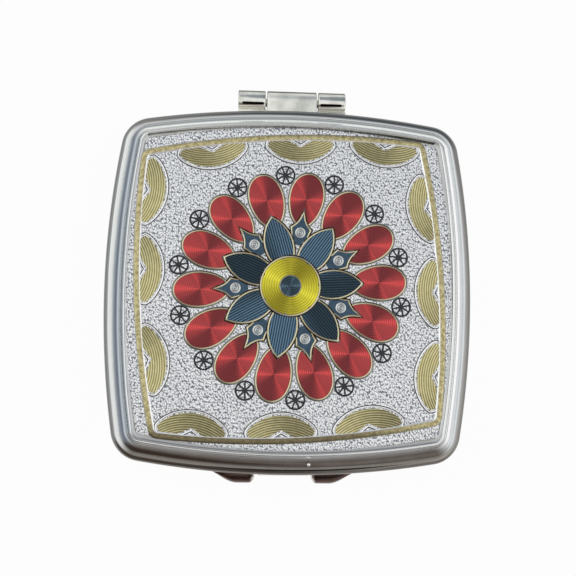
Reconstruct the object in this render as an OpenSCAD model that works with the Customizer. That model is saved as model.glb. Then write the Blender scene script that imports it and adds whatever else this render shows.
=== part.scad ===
// Compact mirror: a plated square case with bowed sides, a moulded lid frame round an embossed
// plaque, a barrel hinge at the back and a push catch between two lugs at the front.
// Millimetres. Origin at the middle of the base's flat underside, +Y towards the hinge, +Z up.

/* [Case] */
// Width of the case across the middle of its sides
case_w = 65; // [60:0.5:72]
// Depth of the case without its hinge and lugs
case_d = 65; // [60:0.5:72]
// Radius of the case's corners in plan
corner_r = 5.6; // [5.4:0.1:6.6]
// Radius of the bowed sides in plan
side_r = 157; // [120:1:220]
// Height of the base from its underside to its rim
base_h = 5.6; // [5.5:0.1:6.5]
// Height of the lid from its rim to the top of its bead
lid_h = 5.9; // [5.8:0.1:7]
// Gap between the two rims when the case is shut
part_gap = 0.12; // [0.1:0.01:0.2]

/* [Base shell] */
// Thickness of the base's side wall
base_wall = 1.6; // [1.4:0.1:1.8]
// Thickness of the base's floor
base_floor = 1.1; // [0.9:0.1:1.2]
// Width of the rounded lower edge in plan
base_edge_w = 3.4; // [2.6:0.1:3.8]
// How far that edge swells past a straight slope
base_edge_swell = 0.95; // [0.6:0.05:1.1]
// Height of the upright band under each rim
band_h = 1.2; // [1:0.1:1.4]

/* [Lid frame] */
// Thickness of the lid's side wall
lid_wall = 1.7; // [1.4:0.1:1.8]
// Thickness of the plate under the plaque
lid_plate = 0.9; // [0.8:0.05:1]
// Width of the round outer shoulder
shoulder_w = 1.45; // [1.2:0.05:1.6]
// Rise of the shoulder above the band
shoulder_rise = 1.4; // [1.2:0.05:1.6]
// Width of the cove between shoulder and bead
cove_w = 1.95; // [1.7:0.05:2]
// Width of the bead round the plaque
bead_w = 0.5; // [0.4:0.05:0.6]
// Height of the bead above the cove
bead_rise = 0.5; // [0.4:0.05:0.6]
// Width of the fine lines that part the mouldings
line_w = 0.12; // [0.08:0.01:0.16]
// Depth of those lines
line_d = 0.16; // [0.1:0.01:0.2]

/* [Plaque] */
// Gap between the bead and the plaque's edge
plaque_gap = 0.16; // [0.1:0.01:0.2]
// Depth of the plaque's face below the top of the bead
plaque_set = 0.55; // [0.5:0.01:0.6]
// Thickness of the plaque's sheet
plaque_t = 0.35; // [0.3:0.01:0.4]
// Thickness of the adhesive film under it
film_t = 0.1; // [0.05:0.01:0.15]
// Radius of the plaque's corners
plaque_r = 1.6; // [1.2:0.1:2.5]
// Turn of the ornament on the lid, in degrees
art_turn = 3.3; // [-4:0.1:4]
// Height of the lacquered fields above the sheet
field_t = 0.12; // [0.08:0.01:0.16]
// Height of the raised outlines above the sheet
rim_t = 0.2; // [0.17:0.01:0.26]
// Width of the raised outlines
rim_w = 0.24; // [0.2:0.01:0.3]

/* [Ornament] */
// Number of wheels and of red petals
petal_count = 14; // [14]
// Number of spokes in a wheel
wheel_spokes = 8; // [8, 10]
// Width of a wheel's rim and spokes
spoke_w = 0.3; // [0.22:0.01:0.34]
// The sizes down to the crescents' are shares of the plaque's half side: first the wheels' ring's radius
wheel_ring_share = 0.695; // [0.68:0.005:0.715]
// Outer radius of a wheel
wheel_share = 0.062; // [0.056:0.001:0.064]
// Distance from the centre to the middle of a red petal
red_mid_share = 0.546; // [0.535:0.001:0.555]
// Length of a red petal
red_len_share = 0.326; // [0.31:0.001:0.335]
// Width of a red petal
red_w_share = 0.1985; // [0.18:0.0005:0.21]
// Distance from the centre to the middle of a blue petal
blue_mid_share = 0.262; // [0.255:0.001:0.27]
// Length of a blue petal from point to point
blue_len_share = 0.347; // [0.335:0.001:0.355]
// Width of a blue petal
blue_w_share = 0.17; // [0.16:0.001:0.175]
// Distance from the centre to the tip of a small blue point
point_tip_share = 0.456; // [0.45:0.001:0.465]
// Distance from the centre to the widest place of a small blue point
point_wide_share = 0.362; // [0.358:0.001:0.367]
// Width of a small blue point there
point_w_share = 0.116; // [0.11:0.001:0.12]
// Distance from the centre to the small silver rings
pearl_ring_share = 0.337; // [0.33:0.001:0.34]
// Radius of a small silver ring
pearl_share = 0.0285; // [0.025:0.0005:0.032]
// Radius of the yellow disc
disc_share = 0.1845; // [0.175:0.0005:0.19]
// Radius of the blue boss in the disc
boss_share = 0.062; // [0.056:0.001:0.067]
// Length of a gold crescent
crescent_len_share = 0.406; // [0.39:0.001:0.42]
// Depth of a gold crescent
crescent_depth_share = 0.125; // [0.115:0.001:0.135]
// Distance between the middles of the crescents along a side
crescent_pitch_share = 0.546; // [0.53:0.001:0.553]
// Shift of each side's crescents along it
crescent_shift_share = 0.0815; // [0.065:0.0005:0.085]
// Distance from the case's edge to the outside of the gold border
border_in = 5.85; // [5.8:0.05:6]
// Width of the gold border
border_w = 0.7; // [0.5:0.05:0.9]
// Radius of the gold border's corners
border_r = 1.5; // [1.2:0.1:2]

/* [Hinge] */
// Width of the hinge across all its knuckles
hinge_w = 19.5; // [17:0.5:24]
// Width of the lid's middle knuckle
mid_knuckle_w = 9; // [7:0.5:11]
// Gap between neighbouring knuckles
knuckle_gap = 0.3; // [0.2:0.05:0.5]
// Radius of the knuckles
hinge_r = 2.1; // [1.9:0.05:2.3]
// Distance from the case's back edge to the hinge axis
hinge_out = 2; // [1.9:0.05:2.2]
// Radius of the hinge pin
pin_r = 0.75; // [0.6:0.05:0.9]
// Radial clearance of the pin in the lid's knuckle
pin_run = 0.05; // [0.02:0.01:0.08]
// Radial clearance of the pin in the base's knuckles
pin_seat = 0.01; // [0.01:0.005:0.02]
// Gap between a knuckle and the other half's plinth
knuckle_relief = 0.2; // [0.15:0.05:0.3]

/* [Catch] */
// Sideways place of the catch from the middle of the front
catch_x = -0.45; // [-1:0.05:1]
// Distance between the two lugs
notch_w = 10; // [9.6:0.1:11]
// How far the lugs stand out from the case
lug_reach = 1.7; // [1.4:0.1:2]
// Width of a lug from its inner side to its outer end
lug_w = 9.2; // [8:0.1:9.5]
// Width of the flat nose of a lug
lug_nose = 3; // [2.5:0.1:3.5]
// Radius of a lug's inner corner in plan
lug_r = 1.1; // [0.9:0.05:1.3]
// Width of the push button's face
button_w = 8.8; // [8:0.1:9]
// Height of the push button's face
button_h = 3; // [2.6:0.1:3]
// How far the button's face stands out from the case
button_proud = 0.25; // [0.1:0.05:0.3]
// Travel of the push button
button_travel = 0.8; // [0.7:0.05:0.8]
// Clearance of the button in its window
button_fit = 0.12; // [0.08:0.01:0.15]
// Thickness of the button's stop flange
flange_t = 0.75; // [0.6:0.05:0.8]
// Thickness of the hook bar from top to bottom
bar_h = 0.9; // [0.8:0.05:0.95]
// Thickness of the hook bar from front to back
bar_t = 1.1; // [0.9:0.05:1.2]
// Thickness of the strike tongue
tongue_t = 0.8; // [0.6:0.05:0.8]
// Width of the strike tongue
tongue_w = 6; // [5:0.25:6.5]
// Length of the strike tongue's barb
barb_reach = 0.7; // [0.6:0.05:0.75]
// Gap between the tongue and the hook bar
hook_gap = 0.15; // [0.1:0.01:0.18]
// Length of the button's return spring
spring_len = 3.5; // [3:0.1:4]
// Outer diameter of the return spring
spring_d = 1.7; // [1.5:0.05:1.8]
// Wire diameter of the return spring
wire_d = 0.28; // [0.24:0.01:0.3]
// Number of turns in the return spring
spring_turns = 5; // [4:1:6]

/* [Mirrors and liners] */
// Thickness of each mirror
mirror_t = 1; // [0.8:0.05:1.1]
// Distance from the case's edge to the mirrors' edge
mirror_in = 6.5; // [6.4:0.1:7.5]
// Radius of the mirrors' corners
mirror_r = 4; // [2:0.5:8]
// Gap round each mirror in its liner
mirror_fit = 0.1; // [0.05:0.01:0.15]
// Thickness of the foam pads behind the mirrors
pad_t = 0.3; // [0.2:0.05:0.35]
// Margin between a foam pad's edge and its mirror's edge
pad_in = 0.8; // [0.5:0.1:2]
// Thickness of the liners' plates
liner_plate = 0.65; // [0.5:0.05:0.7]
// Thickness of the liners' skirts and ribs
liner_wall = 0.9; // [0.8:0.05:1]
// Gap between each liner and its shell's wall
liner_fit = 0.15; // [0.1:0.01:0.2]
// Depth of the base liner's rim below the base's rim
liner_set = 0.15; // [0.1:0.01:0.2]
// Depth of the lid liner's rim inside the lid's rim
lid_liner_set = 0.35; // [0.3:0.05:0.5]
// Depth of each mirror's face below its liner's rim
mirror_set = 0.3; // [0.2:0.05:0.35]
// Radius of the rest bumpers
bumper_r = 0.9; // [0.7:0.05:1]
// Sideways place of the rest bumpers
bumper_x = 21; // [16:0.5:22]

/* [Hidden] */

// Smoothness of arcs, of swept corners and of swept sides
round_fn = 64;
corner_fn = 96;
side_fn = 360;
// Steps along a drawn side, a drawn corner and a drawn curve
side_steps = 16;
corner_steps = 8;
curve_steps = 6;
// Overrun of every cut, and the overlap of pieces fused into one
cut = 0.5;
bite = 0.3;

// Plan of the case: each side is an arc that meets its corners without a kink
half_w = case_w / 2;
half_d = case_d / 2;
back_x = side_r - half_w;
back_y = side_r - half_d;

// Heights of the shut case
lid_z = base_h + part_gap;
hinge_z = base_h + part_gap / 2;
hinge_y = half_d + hinge_out;
hinge_half = hinge_w / 2;
mid_half = mid_knuckle_w / 2;

// Lid moulding, measured inwards from the edge and upwards from the lid's rim
rim_ease = 0.15;
shoulder_h = band_h + shoulder_rise;
cove_in = shoulder_w + line_w;
bead_in = cove_in + cove_w + line_w;
bead_end = bead_in + bead_w;
plaque_in = bead_end + plaque_gap;
cove_h = lid_h - bead_rise;
plaque_h = lid_h - plaque_set;
seat_h = plaque_h - plaque_t - film_t;
ceiling_h = seat_h - lid_plate;
corner_keep_share = 0.6;
sweep_w = corner_r - corner_keep_share * (corner_r - bead_end);
shoulder_swell_share = 0.42;
shoulder_swell = shoulder_swell_share * shoulder_rise;
cove_sag_share = 0.22;
cove_sag = cove_sag_share * cove_w;
roof_in = bead_end + bead_w / 2;
roof_drop_share = 1.2;
roof_low = shoulder_h - roof_drop_share * lid_plate;

// Base liner and what it holds
liner_top = base_h - liner_set;
base_mirror_z = liner_top - mirror_set - mirror_t;
base_pad_z = base_mirror_z - pad_t;
base_plate_z = base_pad_z - liner_plate;
pocket_in = mirror_in - mirror_fit;
lid_mirror_h = lid_liner_set + mirror_set;
lid_pad_h = lid_mirror_h + mirror_t;
lid_plate_h = lid_pad_h + pad_t;
bumper_h = 0.4;
bumper_seat = 0.3;
bumper_in = (pocket_in + base_wall + liner_fit) / 2;

// Catch, measured inwards from the case's front edge
slide_gap = 0.1;
flange_in = base_wall + liner_fit;
flange_end = flange_in + flange_t;
tongue_in = flange_end + button_travel + 2 * slide_gap;
tongue_end = tongue_in + tongue_t;
bar_in = tongue_end + hook_gap;
bar_end = bar_in + bar_t;
post_in = bar_end + spring_len;
post_t = 1.2;
rail_w = 1.1;
slide_half = button_w / 2 + rail_w;
slide_low = base_floor + slide_gap / 2;
slide_top = base_plate_z - 2 * slide_gap;
bar_low = slide_top - bar_h;
barb_top = bar_low - slide_gap;
barb_h = 0.55;
tongue_low = barb_top - barb_h;
button_low = base_floor + button_h / 6;
spring_z = (base_floor + slide_top) / 2 + slide_gap / 2;
spring_slack = 0.05;
spigot_r = spring_d / 2 - 2 * wire_d;
spigot_len = 0.8;
spring_ring = 12;
wire_sides = 6;
helix_r = (spring_d - wire_d) / 2;
helix_len = spring_len - wire_d - 2 * spring_slack;
helix_steps = spring_ring * spring_turns;
lug_low = base_h / 5;
lug_top = base_h - 3 * slide_gap;
strike_boss_h = 1.1;
strike_boss_r = 1.2;
foot_len = 3.4;
foot_h = ceiling_h - strike_boss_h;
rivet_r = 0.5;
rivet_head_r = 0.8;
rivet_head_t = 0.3;
rivet_share = 0.3;
rivet_dx = rivet_share * tongue_w;
rivet_in = tongue_end + foot_len / 2;
rivet_bite = lid_plate / 2;

// Ornament, drawn to the plaque's half side
plaque_z = lid_z + plaque_h;
art_r = min(half_w, half_d) - plaque_in;
wheel_ring_r = wheel_ring_share * art_r;
wheel_r = wheel_share * art_r;
red_mid_r = red_mid_share * art_r;
red_len = red_len_share * art_r;
red_w = red_w_share * art_r;
blue_mid_r = blue_mid_share * art_r;
blue_len = blue_len_share * art_r;
blue_w = blue_w_share * art_r;
point_tip_r = point_tip_share * art_r;
point_wide_r = point_wide_share * art_r;
point_w = point_w_share * art_r;
pearl_ring_r = pearl_ring_share * art_r;
pearl_r = pearl_share * art_r;
disc_r = disc_share * art_r;
boss_r = boss_share * art_r;
crescent_len = crescent_len_share * art_r;
crescent_depth = crescent_depth_share * art_r;
crescent_pitch = crescent_pitch_share * art_r;
crescent_shift = crescent_shift_share * art_r;
hub_r = wheel_r / 4;
petal_step = 360 / petal_count;
petal_steps = 28;
egg_share = 0.13;
notch_share = 0.31;
lobe_share = 0.86;
dip_share = 0.38;
end_drop_share = 0.25;
root_share = 0.4;

function lerp(a, b, t) = a + (b - a) * t;

// Points from p to q along a curve that swells to the left of the way by sag
function bowed(p, q, sag, n) = let (d = q - p, nrm = [-d[1], d[0]] / norm(d))
    [for (i = [0 : n]) let (t = i / n) p + d * t + nrm * 4 * sag * t * (1 - t)];

// Centre of the corner circle of radius r that touches both sides drawn in by inset
function corner_at(inset, r) = let (
        reach = side_r - inset - r,
        m = back_x / back_y,
        n = (back_x * back_x - back_y * back_y) / (2 * back_y),
        h = back_x + m * n,
        x = (-h + sqrt(h * h - (1 + m * m) * (back_x * back_x + n * n - reach * reach))) / (1 + m * m)
    ) [x, m * x + n];

// One quarter of the plan drawn in by inset, from the middle of the +X side to that of the +Y side
function quarter(inset, r) = let (
        c = corner_at(inset, r),
        ax = atan2(c[1], c[0] + back_x),
        ay = atan2(c[1] + back_y, c[0]),
        reach = side_r - inset
    ) concat(
        [for (i = [0 : side_steps - 1]) let (a = ax * i / side_steps)
            [reach * cos(a) - back_x, reach * sin(a)]],
        [for (i = [0 : corner_steps]) let (a = lerp(ax, ay, i / corner_steps))
            c + r * [cos(a), sin(a)]],
        [for (i = [1 : side_steps]) let (a = lerp(ay, 90, i / side_steps))
            [reach * cos(a), reach * sin(a) - back_y]]);

function flipped(points, sx, sy) = [for (p = points) [p[0] * sx, p[1] * sy]];
function backwards(points) = [for (i = [len(points) - 2 : -1 : 1]) points[i]];

// The whole plan drawn in by inset with corners of radius r
function plan(inset, r) = let (q = quarter(inset, r))
    concat(q, flipped(backwards(q), -1, 1), [flipped([q[0]], -1, 1)[0]],
        flipped([for (i = [1 : len(q) - 1]) q[i]], -1, -1), flipped(backwards(q), 1, -1));

function corner_for(inset) = max(corner_r - inset, line_w);

// Distance of the front or back edge from the middle at a place x along it
function edge_at(x) = sqrt(side_r * side_r - x * x) - back_y;

// Sweeps a section, drawn as distance inwards and height, round the case's plan
module round_plan() {
    c = corner_at(0, corner_r);
    ax = atan2(c[1], c[0] + back_x);
    ay = atan2(c[1] + back_y, c[0]);
    for (side = [0, 180]) rotate(side) {
        translate([-back_x, 0]) rotate(-ax) rotate_extrude(angle = 2 * ax, $fn = side_fn)
            translate([side_r, 0]) mirror([1, 0]) children();
        translate([0, -back_y]) rotate(ay) rotate_extrude(angle = 180 - 2 * ay, $fn = side_fn)
            translate([side_r, 0]) mirror([1, 0]) children();
    }
    for (sx = [0, 1], sy = [0, 1]) mirror([sx, 0, 0]) mirror([0, sy, 0])
        translate(c) rotate(ax) rotate_extrude(angle = ay - ax, $fn = corner_fn)
            translate([corner_r, 0]) mirror([1, 0]) children();
}

module slab(inset, r, low, high) {
    translate([0, 0, low]) linear_extrude(high - low) polygon(plan(inset, r));
}

// A bar along X on the hinge axis
module hinge_rod(r, from, to) {
    translate([from, hinge_y, hinge_z]) rotate([0, 90, 0]) cylinder(r = r, h = to - from, $fn = round_fn);
}

// A block given by its place across, its distances in from the front edge and its heights
module catch_block(x, w, near, far, low, high) {
    translate([catch_x + x - w / 2, near - half_d, low]) cube([w, far - near, high - low]);
}

module base_section() {
    foot = base_h - band_h - line_w;
    polygon(concat(
        [[base_wall, base_h], [rim_ease, base_h], [0, base_h - rim_ease], [0, base_h - band_h],
            [line_d, base_h - band_h], [line_d, foot]],
        bowed([0, foot], [base_edge_w, 0], -base_edge_swell, 2 * curve_steps),
        [[sweep_w, 0], [sweep_w, base_floor], [base_wall, base_floor]]));
}

module lid_section() {
    bead_mid = cove_h + bead_rise - bead_w / 2;
    polygon(concat(
        [[rim_ease, 0], [lid_wall, 0], [lid_wall, roof_low], [roof_in, ceiling_h], [sweep_w, ceiling_h],
            [sweep_w, seat_h], [bead_end, seat_h]],
        [for (i = [0 : curve_steps]) let (a = 180 * i / curve_steps)
            [bead_in + bead_w / 2 * (1 + cos(a)), bead_mid + bead_w / 2 * sin(a)]],
        [[bead_in, cove_h - line_d], [cove_in + cove_w, cove_h - line_d]],
        bowed([cove_in + cove_w, cove_h], [cove_in, shoulder_h], cove_sag, curve_steps),
        [[cove_in, shoulder_h - line_d], [shoulder_w, shoulder_h - line_d]],
        bowed([shoulder_w, shoulder_h], [0, band_h], -shoulder_swell, curve_steps),
        [[0, rim_ease]]));
}

// Plan of one lug, from its upright inner side to the long easy slope of its outer side
function lug_plan() = let (
        inner = notch_w / 2,
        nose = inner + lug_nose,
        outer = inner + lug_w,
        reach = half_d + lug_reach,
        steps = 2 * curve_steps
    ) concat(
        [[inner, base_wall - half_d], [inner, lug_r - reach]],
        [for (i = [1 : curve_steps]) let (a = 180 + 90 * i / curve_steps)
            [inner + lug_r * (1 + cos(a)), lug_r * (1 + sin(a)) - reach]],
        [for (i = [0 : steps]) let (t = i / steps, ease = (1 + cos(180 * t)) / 2)
            [lerp(nose, outer, t), -lerp(edge_at(outer) - bite, reach, ease)]],
        [[outer, base_wall - half_d]]);

// Side view of a lug, as distance from the middle and height, with a rounded nose
module lug_side() {
    reach = half_d + lug_reach;
    mid = (lug_low + lug_top) / 2;
    tall = (lug_top - lug_low) / 2;
    polygon(concat(
        [[base_wall - half_d, lug_top], [base_wall - half_d, lug_low]],
        [for (i = [0 : 2 * curve_steps]) let (a = 90 * (i / curve_steps - 1))
            [tall / 2 * (1 - pow(cos(a), 1 / 2)) - reach, mid + tall * sin(a)]]));
}

module lugs() {
    for (side = [0, 1]) translate([catch_x, 0, 0]) mirror([side, 0, 0]) intersection() {
        translate([0, 0, lug_low]) linear_extrude(lug_top - lug_low) polygon(lug_plan());
        rotate([90, 0, 90]) linear_extrude(notch_w + lug_w) lug_side();
    }
}

module base_shell() {
    window_half = button_w / 2 + button_fit;
    color("silver") difference() {
        union() {
            round_plan() base_section();
            slab(sweep_w - bite, corner_for(sweep_w - bite), 0, base_floor);
            lugs();
            for (side = [0, 1]) mirror([side, 0, 0]) {
                hinge_rod(hinge_r, mid_half + knuckle_gap, hinge_half);
                translate([mid_half + knuckle_gap, half_d - base_wall + bite, hinge_z - hinge_r])
                    cube([hinge_half - mid_half - knuckle_gap, hinge_out + base_wall - bite,
                        hinge_r - part_gap / 2]);
            }
            catch_block(0, tongue_w / 2, post_in, post_in + post_t, base_floor - bite, slide_top);
            translate([catch_x, post_in - half_d + cut, spring_z]) rotate([90, 0, 0])
                cylinder(r = spigot_r, h = spigot_len + cut, $fn = round_fn);
        }
        hinge_rod(pin_r + pin_seat, -hinge_w, hinge_w);
        hinge_rod(hinge_r + knuckle_relief, -mid_half - knuckle_gap, mid_half + knuckle_gap);
        catch_block(0, 2 * window_half, -cut, base_wall + cut, button_low - button_fit,
            button_low + button_h + button_fit);
    }
}

module liner_ribs(low, high) {
    span = half_w - pocket_in - corner_r;
    for (x = [-span / 2, span / 2]) translate([x - liner_wall / 2, -span / 2, low])
        cube([liner_wall, 1.5 * span, high - low]);
    for (y = [-span / 4, span / 2]) translate([-span, y, low]) cube([2 * span, liner_wall, high - low]);
}

module base_liner() {
    out = base_wall + liner_fit;
    inner = out + liner_wall;
    color("dimgray") difference() {
        union() {
            slab(out, corner_for(out), base_plate_z, liner_top);
            difference() {
                slab(out, corner_for(out), base_floor, base_plate_z + bite);
                slab(inner, corner_for(inner), base_floor - cut, base_plate_z + cut);
            }
            liner_ribs(base_floor, base_plate_z + bite);
        }
        slab(pocket_in, mirror_r + mirror_fit, base_pad_z, liner_top + cut);
        catch_block(0, 2 * (slide_half + liner_fit), 0, post_in + post_t + liner_wall, base_floor - cut,
            base_plate_z);
        catch_block(0, tongue_w + 4 * liner_fit, tongue_in - 2 * slide_gap,
            tongue_end + barb_reach + 2 * slide_gap, 0, liner_top + cut);
        catch_block(0, button_w + 2 * liner_fit, 0, flange_end + button_travel, button_low - button_fit,
            button_low + button_h + button_fit);
        bumper_holes();
    }
}

module base_mirror() {
    color("lightsteelblue") slab(mirror_in, mirror_r, base_mirror_z, base_mirror_z + mirror_t);
}

module base_mirror_pad() {
    color("white") slab(mirror_in + pad_in, mirror_r - pad_in, base_pad_z, base_mirror_z);
}

module at_bumpers() {
    for (side = [-1, 1]) translate([side * bumper_x, bumper_in - edge_at(bumper_x), liner_top])
        children();
}

module bumper_holes() {
    at_bumpers() translate([0, 0, -bumper_seat])
        cylinder(r = bumper_r, h = bumper_seat + cut, $fn = round_fn);
}

module rest_bumpers() {
    dome = (bumper_r * bumper_r + bumper_h * bumper_h) / (2 * bumper_h);
    color("whitesmoke") at_bumpers() intersection() {
        translate([0, 0, -bumper_seat])
            cylinder(r = bumper_r - slide_gap / 5, h = bumper_seat + bumper_h, $fn = round_fn);
        translate([0, 0, bumper_h - dome]) sphere(r = dome, $fn = round_fn);
    }
}

module hinge_pin() {
    color("gray") hinge_rod(pin_r, -hinge_half + slide_gap, hinge_half - slide_gap);
}

module push_button() {
    color("silver") union() {
        catch_block(0, button_w, -button_proud, flange_end, button_low, button_low + button_h);
        catch_block(0, 2 * slide_half, flange_in, flange_end, slide_low, slide_top);
        for (side = [-1, 1]) catch_block(side * (slide_half - rail_w / 2), rail_w, flange_end - bite, bar_end,
            slide_low, slide_top);
        catch_block(0, 2 * slide_half, bar_in, bar_end, bar_low, slide_top);
        catch_block(0, spring_d, bar_end - bar_t / 2, bar_end, spring_z - spring_d / 2, slide_top);
        translate([catch_x, bar_end - half_d + spigot_len, spring_z]) rotate([90, 0, 0])
            cylinder(r = spigot_r, h = spigot_len + bar_t / 2, $fn = round_fn);
    }
}

// Return spring: a wire swept along a helix on the catch's slide axis
function helix_at(i) = let (a = 360 * i / spring_ring)
    [helix_r * cos(a), helix_len * i / helix_steps, helix_r * sin(a)];

function wire_ring(i) = let (a = 360 * i / spring_ring, c = helix_at(i))
    [for (k = [0 : wire_sides - 1]) let (b = 360 * k / wire_sides)
        c + wire_d / 2 * [cos(a) * cos(b), sin(b), sin(a) * cos(b)]];

module button_spring() {
    points = [for (i = [0 : helix_steps]) each wire_ring(i)];
    last = helix_steps * wire_sides;
    walls = [for (i = [0 : helix_steps - 1], k = [0 : wire_sides - 1]) let (
            a = i * wire_sides + k,
            b = i * wire_sides + (k + 1) % wire_sides
        ) each [[a, b, b + wire_sides], [a, b + wire_sides, a + wire_sides]]];
    ends = [for (k = [1 : wire_sides - 2]) each [[0, k + 1, k], [last, last + k, last + k + 1]]];
    color("gray") translate([catch_x, bar_end - half_d + spring_slack + wire_d / 2, spring_z])
        polyhedron(points, concat(walls, ends), convexity = 8);
}

// Places the two rivets of the strike, at a height above the lid's rim
module at_rivets(h) {
    for (side = [-1, 1]) translate([catch_x + side * rivet_dx, rivet_in - half_d, lid_z + h]) children();
}

module lid_shell() {
    plinth_top = hinge_z + hinge_r;
    color("silver") difference() {
        union() {
            translate([0, 0, lid_z]) round_plan() lid_section();
            slab(sweep_w - bite, corner_for(sweep_w - bite), lid_z + ceiling_h, lid_z + seat_h);
            hinge_rod(hinge_r, -mid_half, mid_half);
            translate([-mid_half, half_d - lid_wall + bite, lid_z])
                cube([mid_knuckle_w, hinge_out + lid_wall - bite, plinth_top - lid_z]);
            translate([-hinge_half, half_d - lid_wall + bite, lid_z])
                cube([hinge_w, lid_wall - bite + line_w / 2, plinth_top - lid_z - rim_ease]);
            at_rivets(foot_h) cylinder(r = strike_boss_r, h = strike_boss_h + bite, $fn = round_fn);
        }
        hinge_rod(pin_r + pin_run, -hinge_w, hinge_w);
        for (side = [0, 1]) mirror([side, 0, 0])
            hinge_rod(hinge_r + knuckle_relief, mid_half, hinge_half + knuckle_relief);
        at_rivets(foot_h - cut) cylinder(r = rivet_r, h = strike_boss_h + rivet_bite + cut, $fn = round_fn);
    }
}

module lid_liner() {
    out = lid_wall + liner_fit;
    body = roof_in + liner_fit;
    inner = body + liner_wall;
    slot_w = tongue_w + 4 * liner_fit;
    color("dimgray") difference() {
        union() {
            slab(out, corner_for(out), lid_z + lid_liner_set, lid_z + roof_low);
            slab(body, corner_for(body), lid_z + roof_low - bite, lid_z + lid_plate_h + liner_plate);
            difference() {
                slab(body, corner_for(body), lid_z + lid_plate_h, lid_z + ceiling_h);
                slab(inner, corner_for(inner), lid_z + lid_plate_h - cut, lid_z + ceiling_h + cut);
            }
            liner_ribs(lid_z + lid_plate_h, lid_z + ceiling_h);
        }
        slab(pocket_in, mirror_r + mirror_fit, lid_z, lid_z + lid_plate_h);
        catch_block(0, slot_w, tongue_in - 2 * slide_gap, tongue_end + 2 * slide_gap, 0, lid_z + lid_h);
        catch_block(0, slot_w, tongue_in - 2 * slide_gap, tongue_end + foot_len + 2 * slide_gap,
            lid_z + foot_h - tongue_t - rivet_head_t - slide_gap, lid_z + lid_h);
    }
}

module lid_mirror() {
    color("lightsteelblue") slab(mirror_in, mirror_r, lid_z + lid_mirror_h, lid_z + lid_pad_h);
}

module lid_mirror_pad() {
    color("white") slab(mirror_in + pad_in, mirror_r - pad_in, lid_z + lid_pad_h, lid_z + lid_plate_h);
}

module strike_tongue() {
    top = lid_z + foot_h;
    color("lightgray") difference() {
        union() {
            catch_block(0, tongue_w, tongue_in, tongue_end, tongue_low, top);
            catch_block(0, tongue_w, tongue_end - tongue_t / 2, tongue_end + foot_len, top - tongue_t, top);
            translate([catch_x - tongue_w / 2, tongue_end - half_d, tongue_low]) rotate([90, 0, 90])
                linear_extrude(tongue_w) polygon([[-tongue_t / 2, 0], [0, 0], [barb_reach, barb_h * 2 / 3],
                    [barb_reach, barb_h], [-tongue_t / 2, barb_h]]);
        }
        at_rivets(foot_h - tongue_t - cut)
            cylinder(r = rivet_r + slide_gap / 5, h = tongue_t + 2 * cut, $fn = round_fn);
    }
}

module strike_rivets() {
    color("gray") {
        at_rivets(foot_h - tongue_t - rivet_head_t)
            cylinder(r = rivet_head_r, h = rivet_head_t, $fn = round_fn);
        at_rivets(foot_h - tongue_t - rivet_head_t / 2) cylinder(r = rivet_r,
            h = tongue_t + rivet_head_t / 2 + strike_boss_h + rivet_bite, $fn = round_fn);
    }
}

// Flat shapes of the ornament, drawn about the rosette's centre and grown by g where one clears another
module disc_shape(g) {
    circle(r = disc_r + g, $fn = round_fn);
}

module blue_petal_shapes(g) {
    half_len = blue_len / 2 + 2 * g;
    half_wide = blue_w / 2 + g;
    r = (half_len * half_len + half_wide * half_wide) / (2 * half_wide);
    for (k = [0 : petal_count / 2 - 1]) rotate(2 * k * petal_step) translate([blue_mid_r, 0])
        intersection() {
            translate([0, r - half_wide]) circle(r = r, $fn = round_fn);
            translate([0, half_wide - r]) circle(r = r, $fn = round_fn);
        }
}

module point_shapes(g) {
    tip = [point_tip_r + 3 * g, 0];
    wide = [point_wide_r, point_w / 2 + g];
    root = [pearl_ring_r - pearl_r - 3 * g, point_w * root_share + g];
    sag = point_w / 12;
    half = concat(bowed(tip, wide, sag, curve_steps), bowed(wide, root, sag, curve_steps));
    for (k = [0 : petal_count / 2 - 1]) rotate((2 * k + 1) * petal_step)
        polygon(concat(half, flipped([for (i = [len(half) - 1 : -1 : 1]) half[i]], 1, -1)));
}

module red_petal_shapes(g) {
    for (k = [0 : petal_count - 1]) rotate(k * petal_step) polygon([for (i = [0 : petal_steps - 1])
        let (a = 360 * i / petal_steps) [red_mid_r + (red_len / 2 + g) * cos(a),
            (red_w / 2 + g) * sin(a) * (1 + egg_share * cos(a))]]);
}

module pearl_shapes(g) {
    for (k = [0 : petal_count / 2 - 1]) rotate((2 * k + 1) * petal_step) translate([pearl_ring_r, 0])
        circle(r = pearl_r + g, $fn = round_fn);
}

// Distance of the gold border's inner edge from the middle at a place x along a side whose arc's
// centre lies back behind the middle
function border_at(x, back) = sqrt(pow(side_r - border_in - border_w, 2) - x * x) - back;

module crescent_shapes(g) {
    half = crescent_len / 2 + g;
    deep = crescent_depth + g;
    ends = crescent_depth * end_drop_share;
    lobe = half * lobe_share;
    dip = half * dip_share;
    for (side = [0 : 3], x = [for (k = [-1, 0, 1]) k * crescent_pitch + crescent_shift]) rotate(90 * side)
        translate([x, border_at(x, side % 2 == 0 ? back_y : back_x)]) rotate(-asin(x / side_r))
            polygon(concat(
                bowed([-half, -ends], [half, -ends], -deep + ends, 3 * curve_steps),
                bowed([half, -ends], [lobe, g], ends / 4, 2),
                [[dip, g - ends / 4], [0, g - deep * notch_share], [-dip, g - ends / 4]],
                bowed([-lobe, g], [-half, -ends], ends / 4, 2)));
}

module wheel_shapes() {
    for (k = [0 : petal_count - 1]) rotate(90 + k * petal_step) translate([wheel_ring_r, 0]) {
        difference() {
            circle(r = wheel_r, $fn = round_fn);
            circle(r = wheel_r - spoke_w, $fn = round_fn);
        }
        for (s = [0 : wheel_spokes / 2 - 1]) rotate((s + 1 / 2) * 360 / wheel_spokes)
            square([2 * wheel_r - spoke_w, spoke_w], center = true);
        circle(r = hub_r, $fn = round_fn);
    }
}

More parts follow.
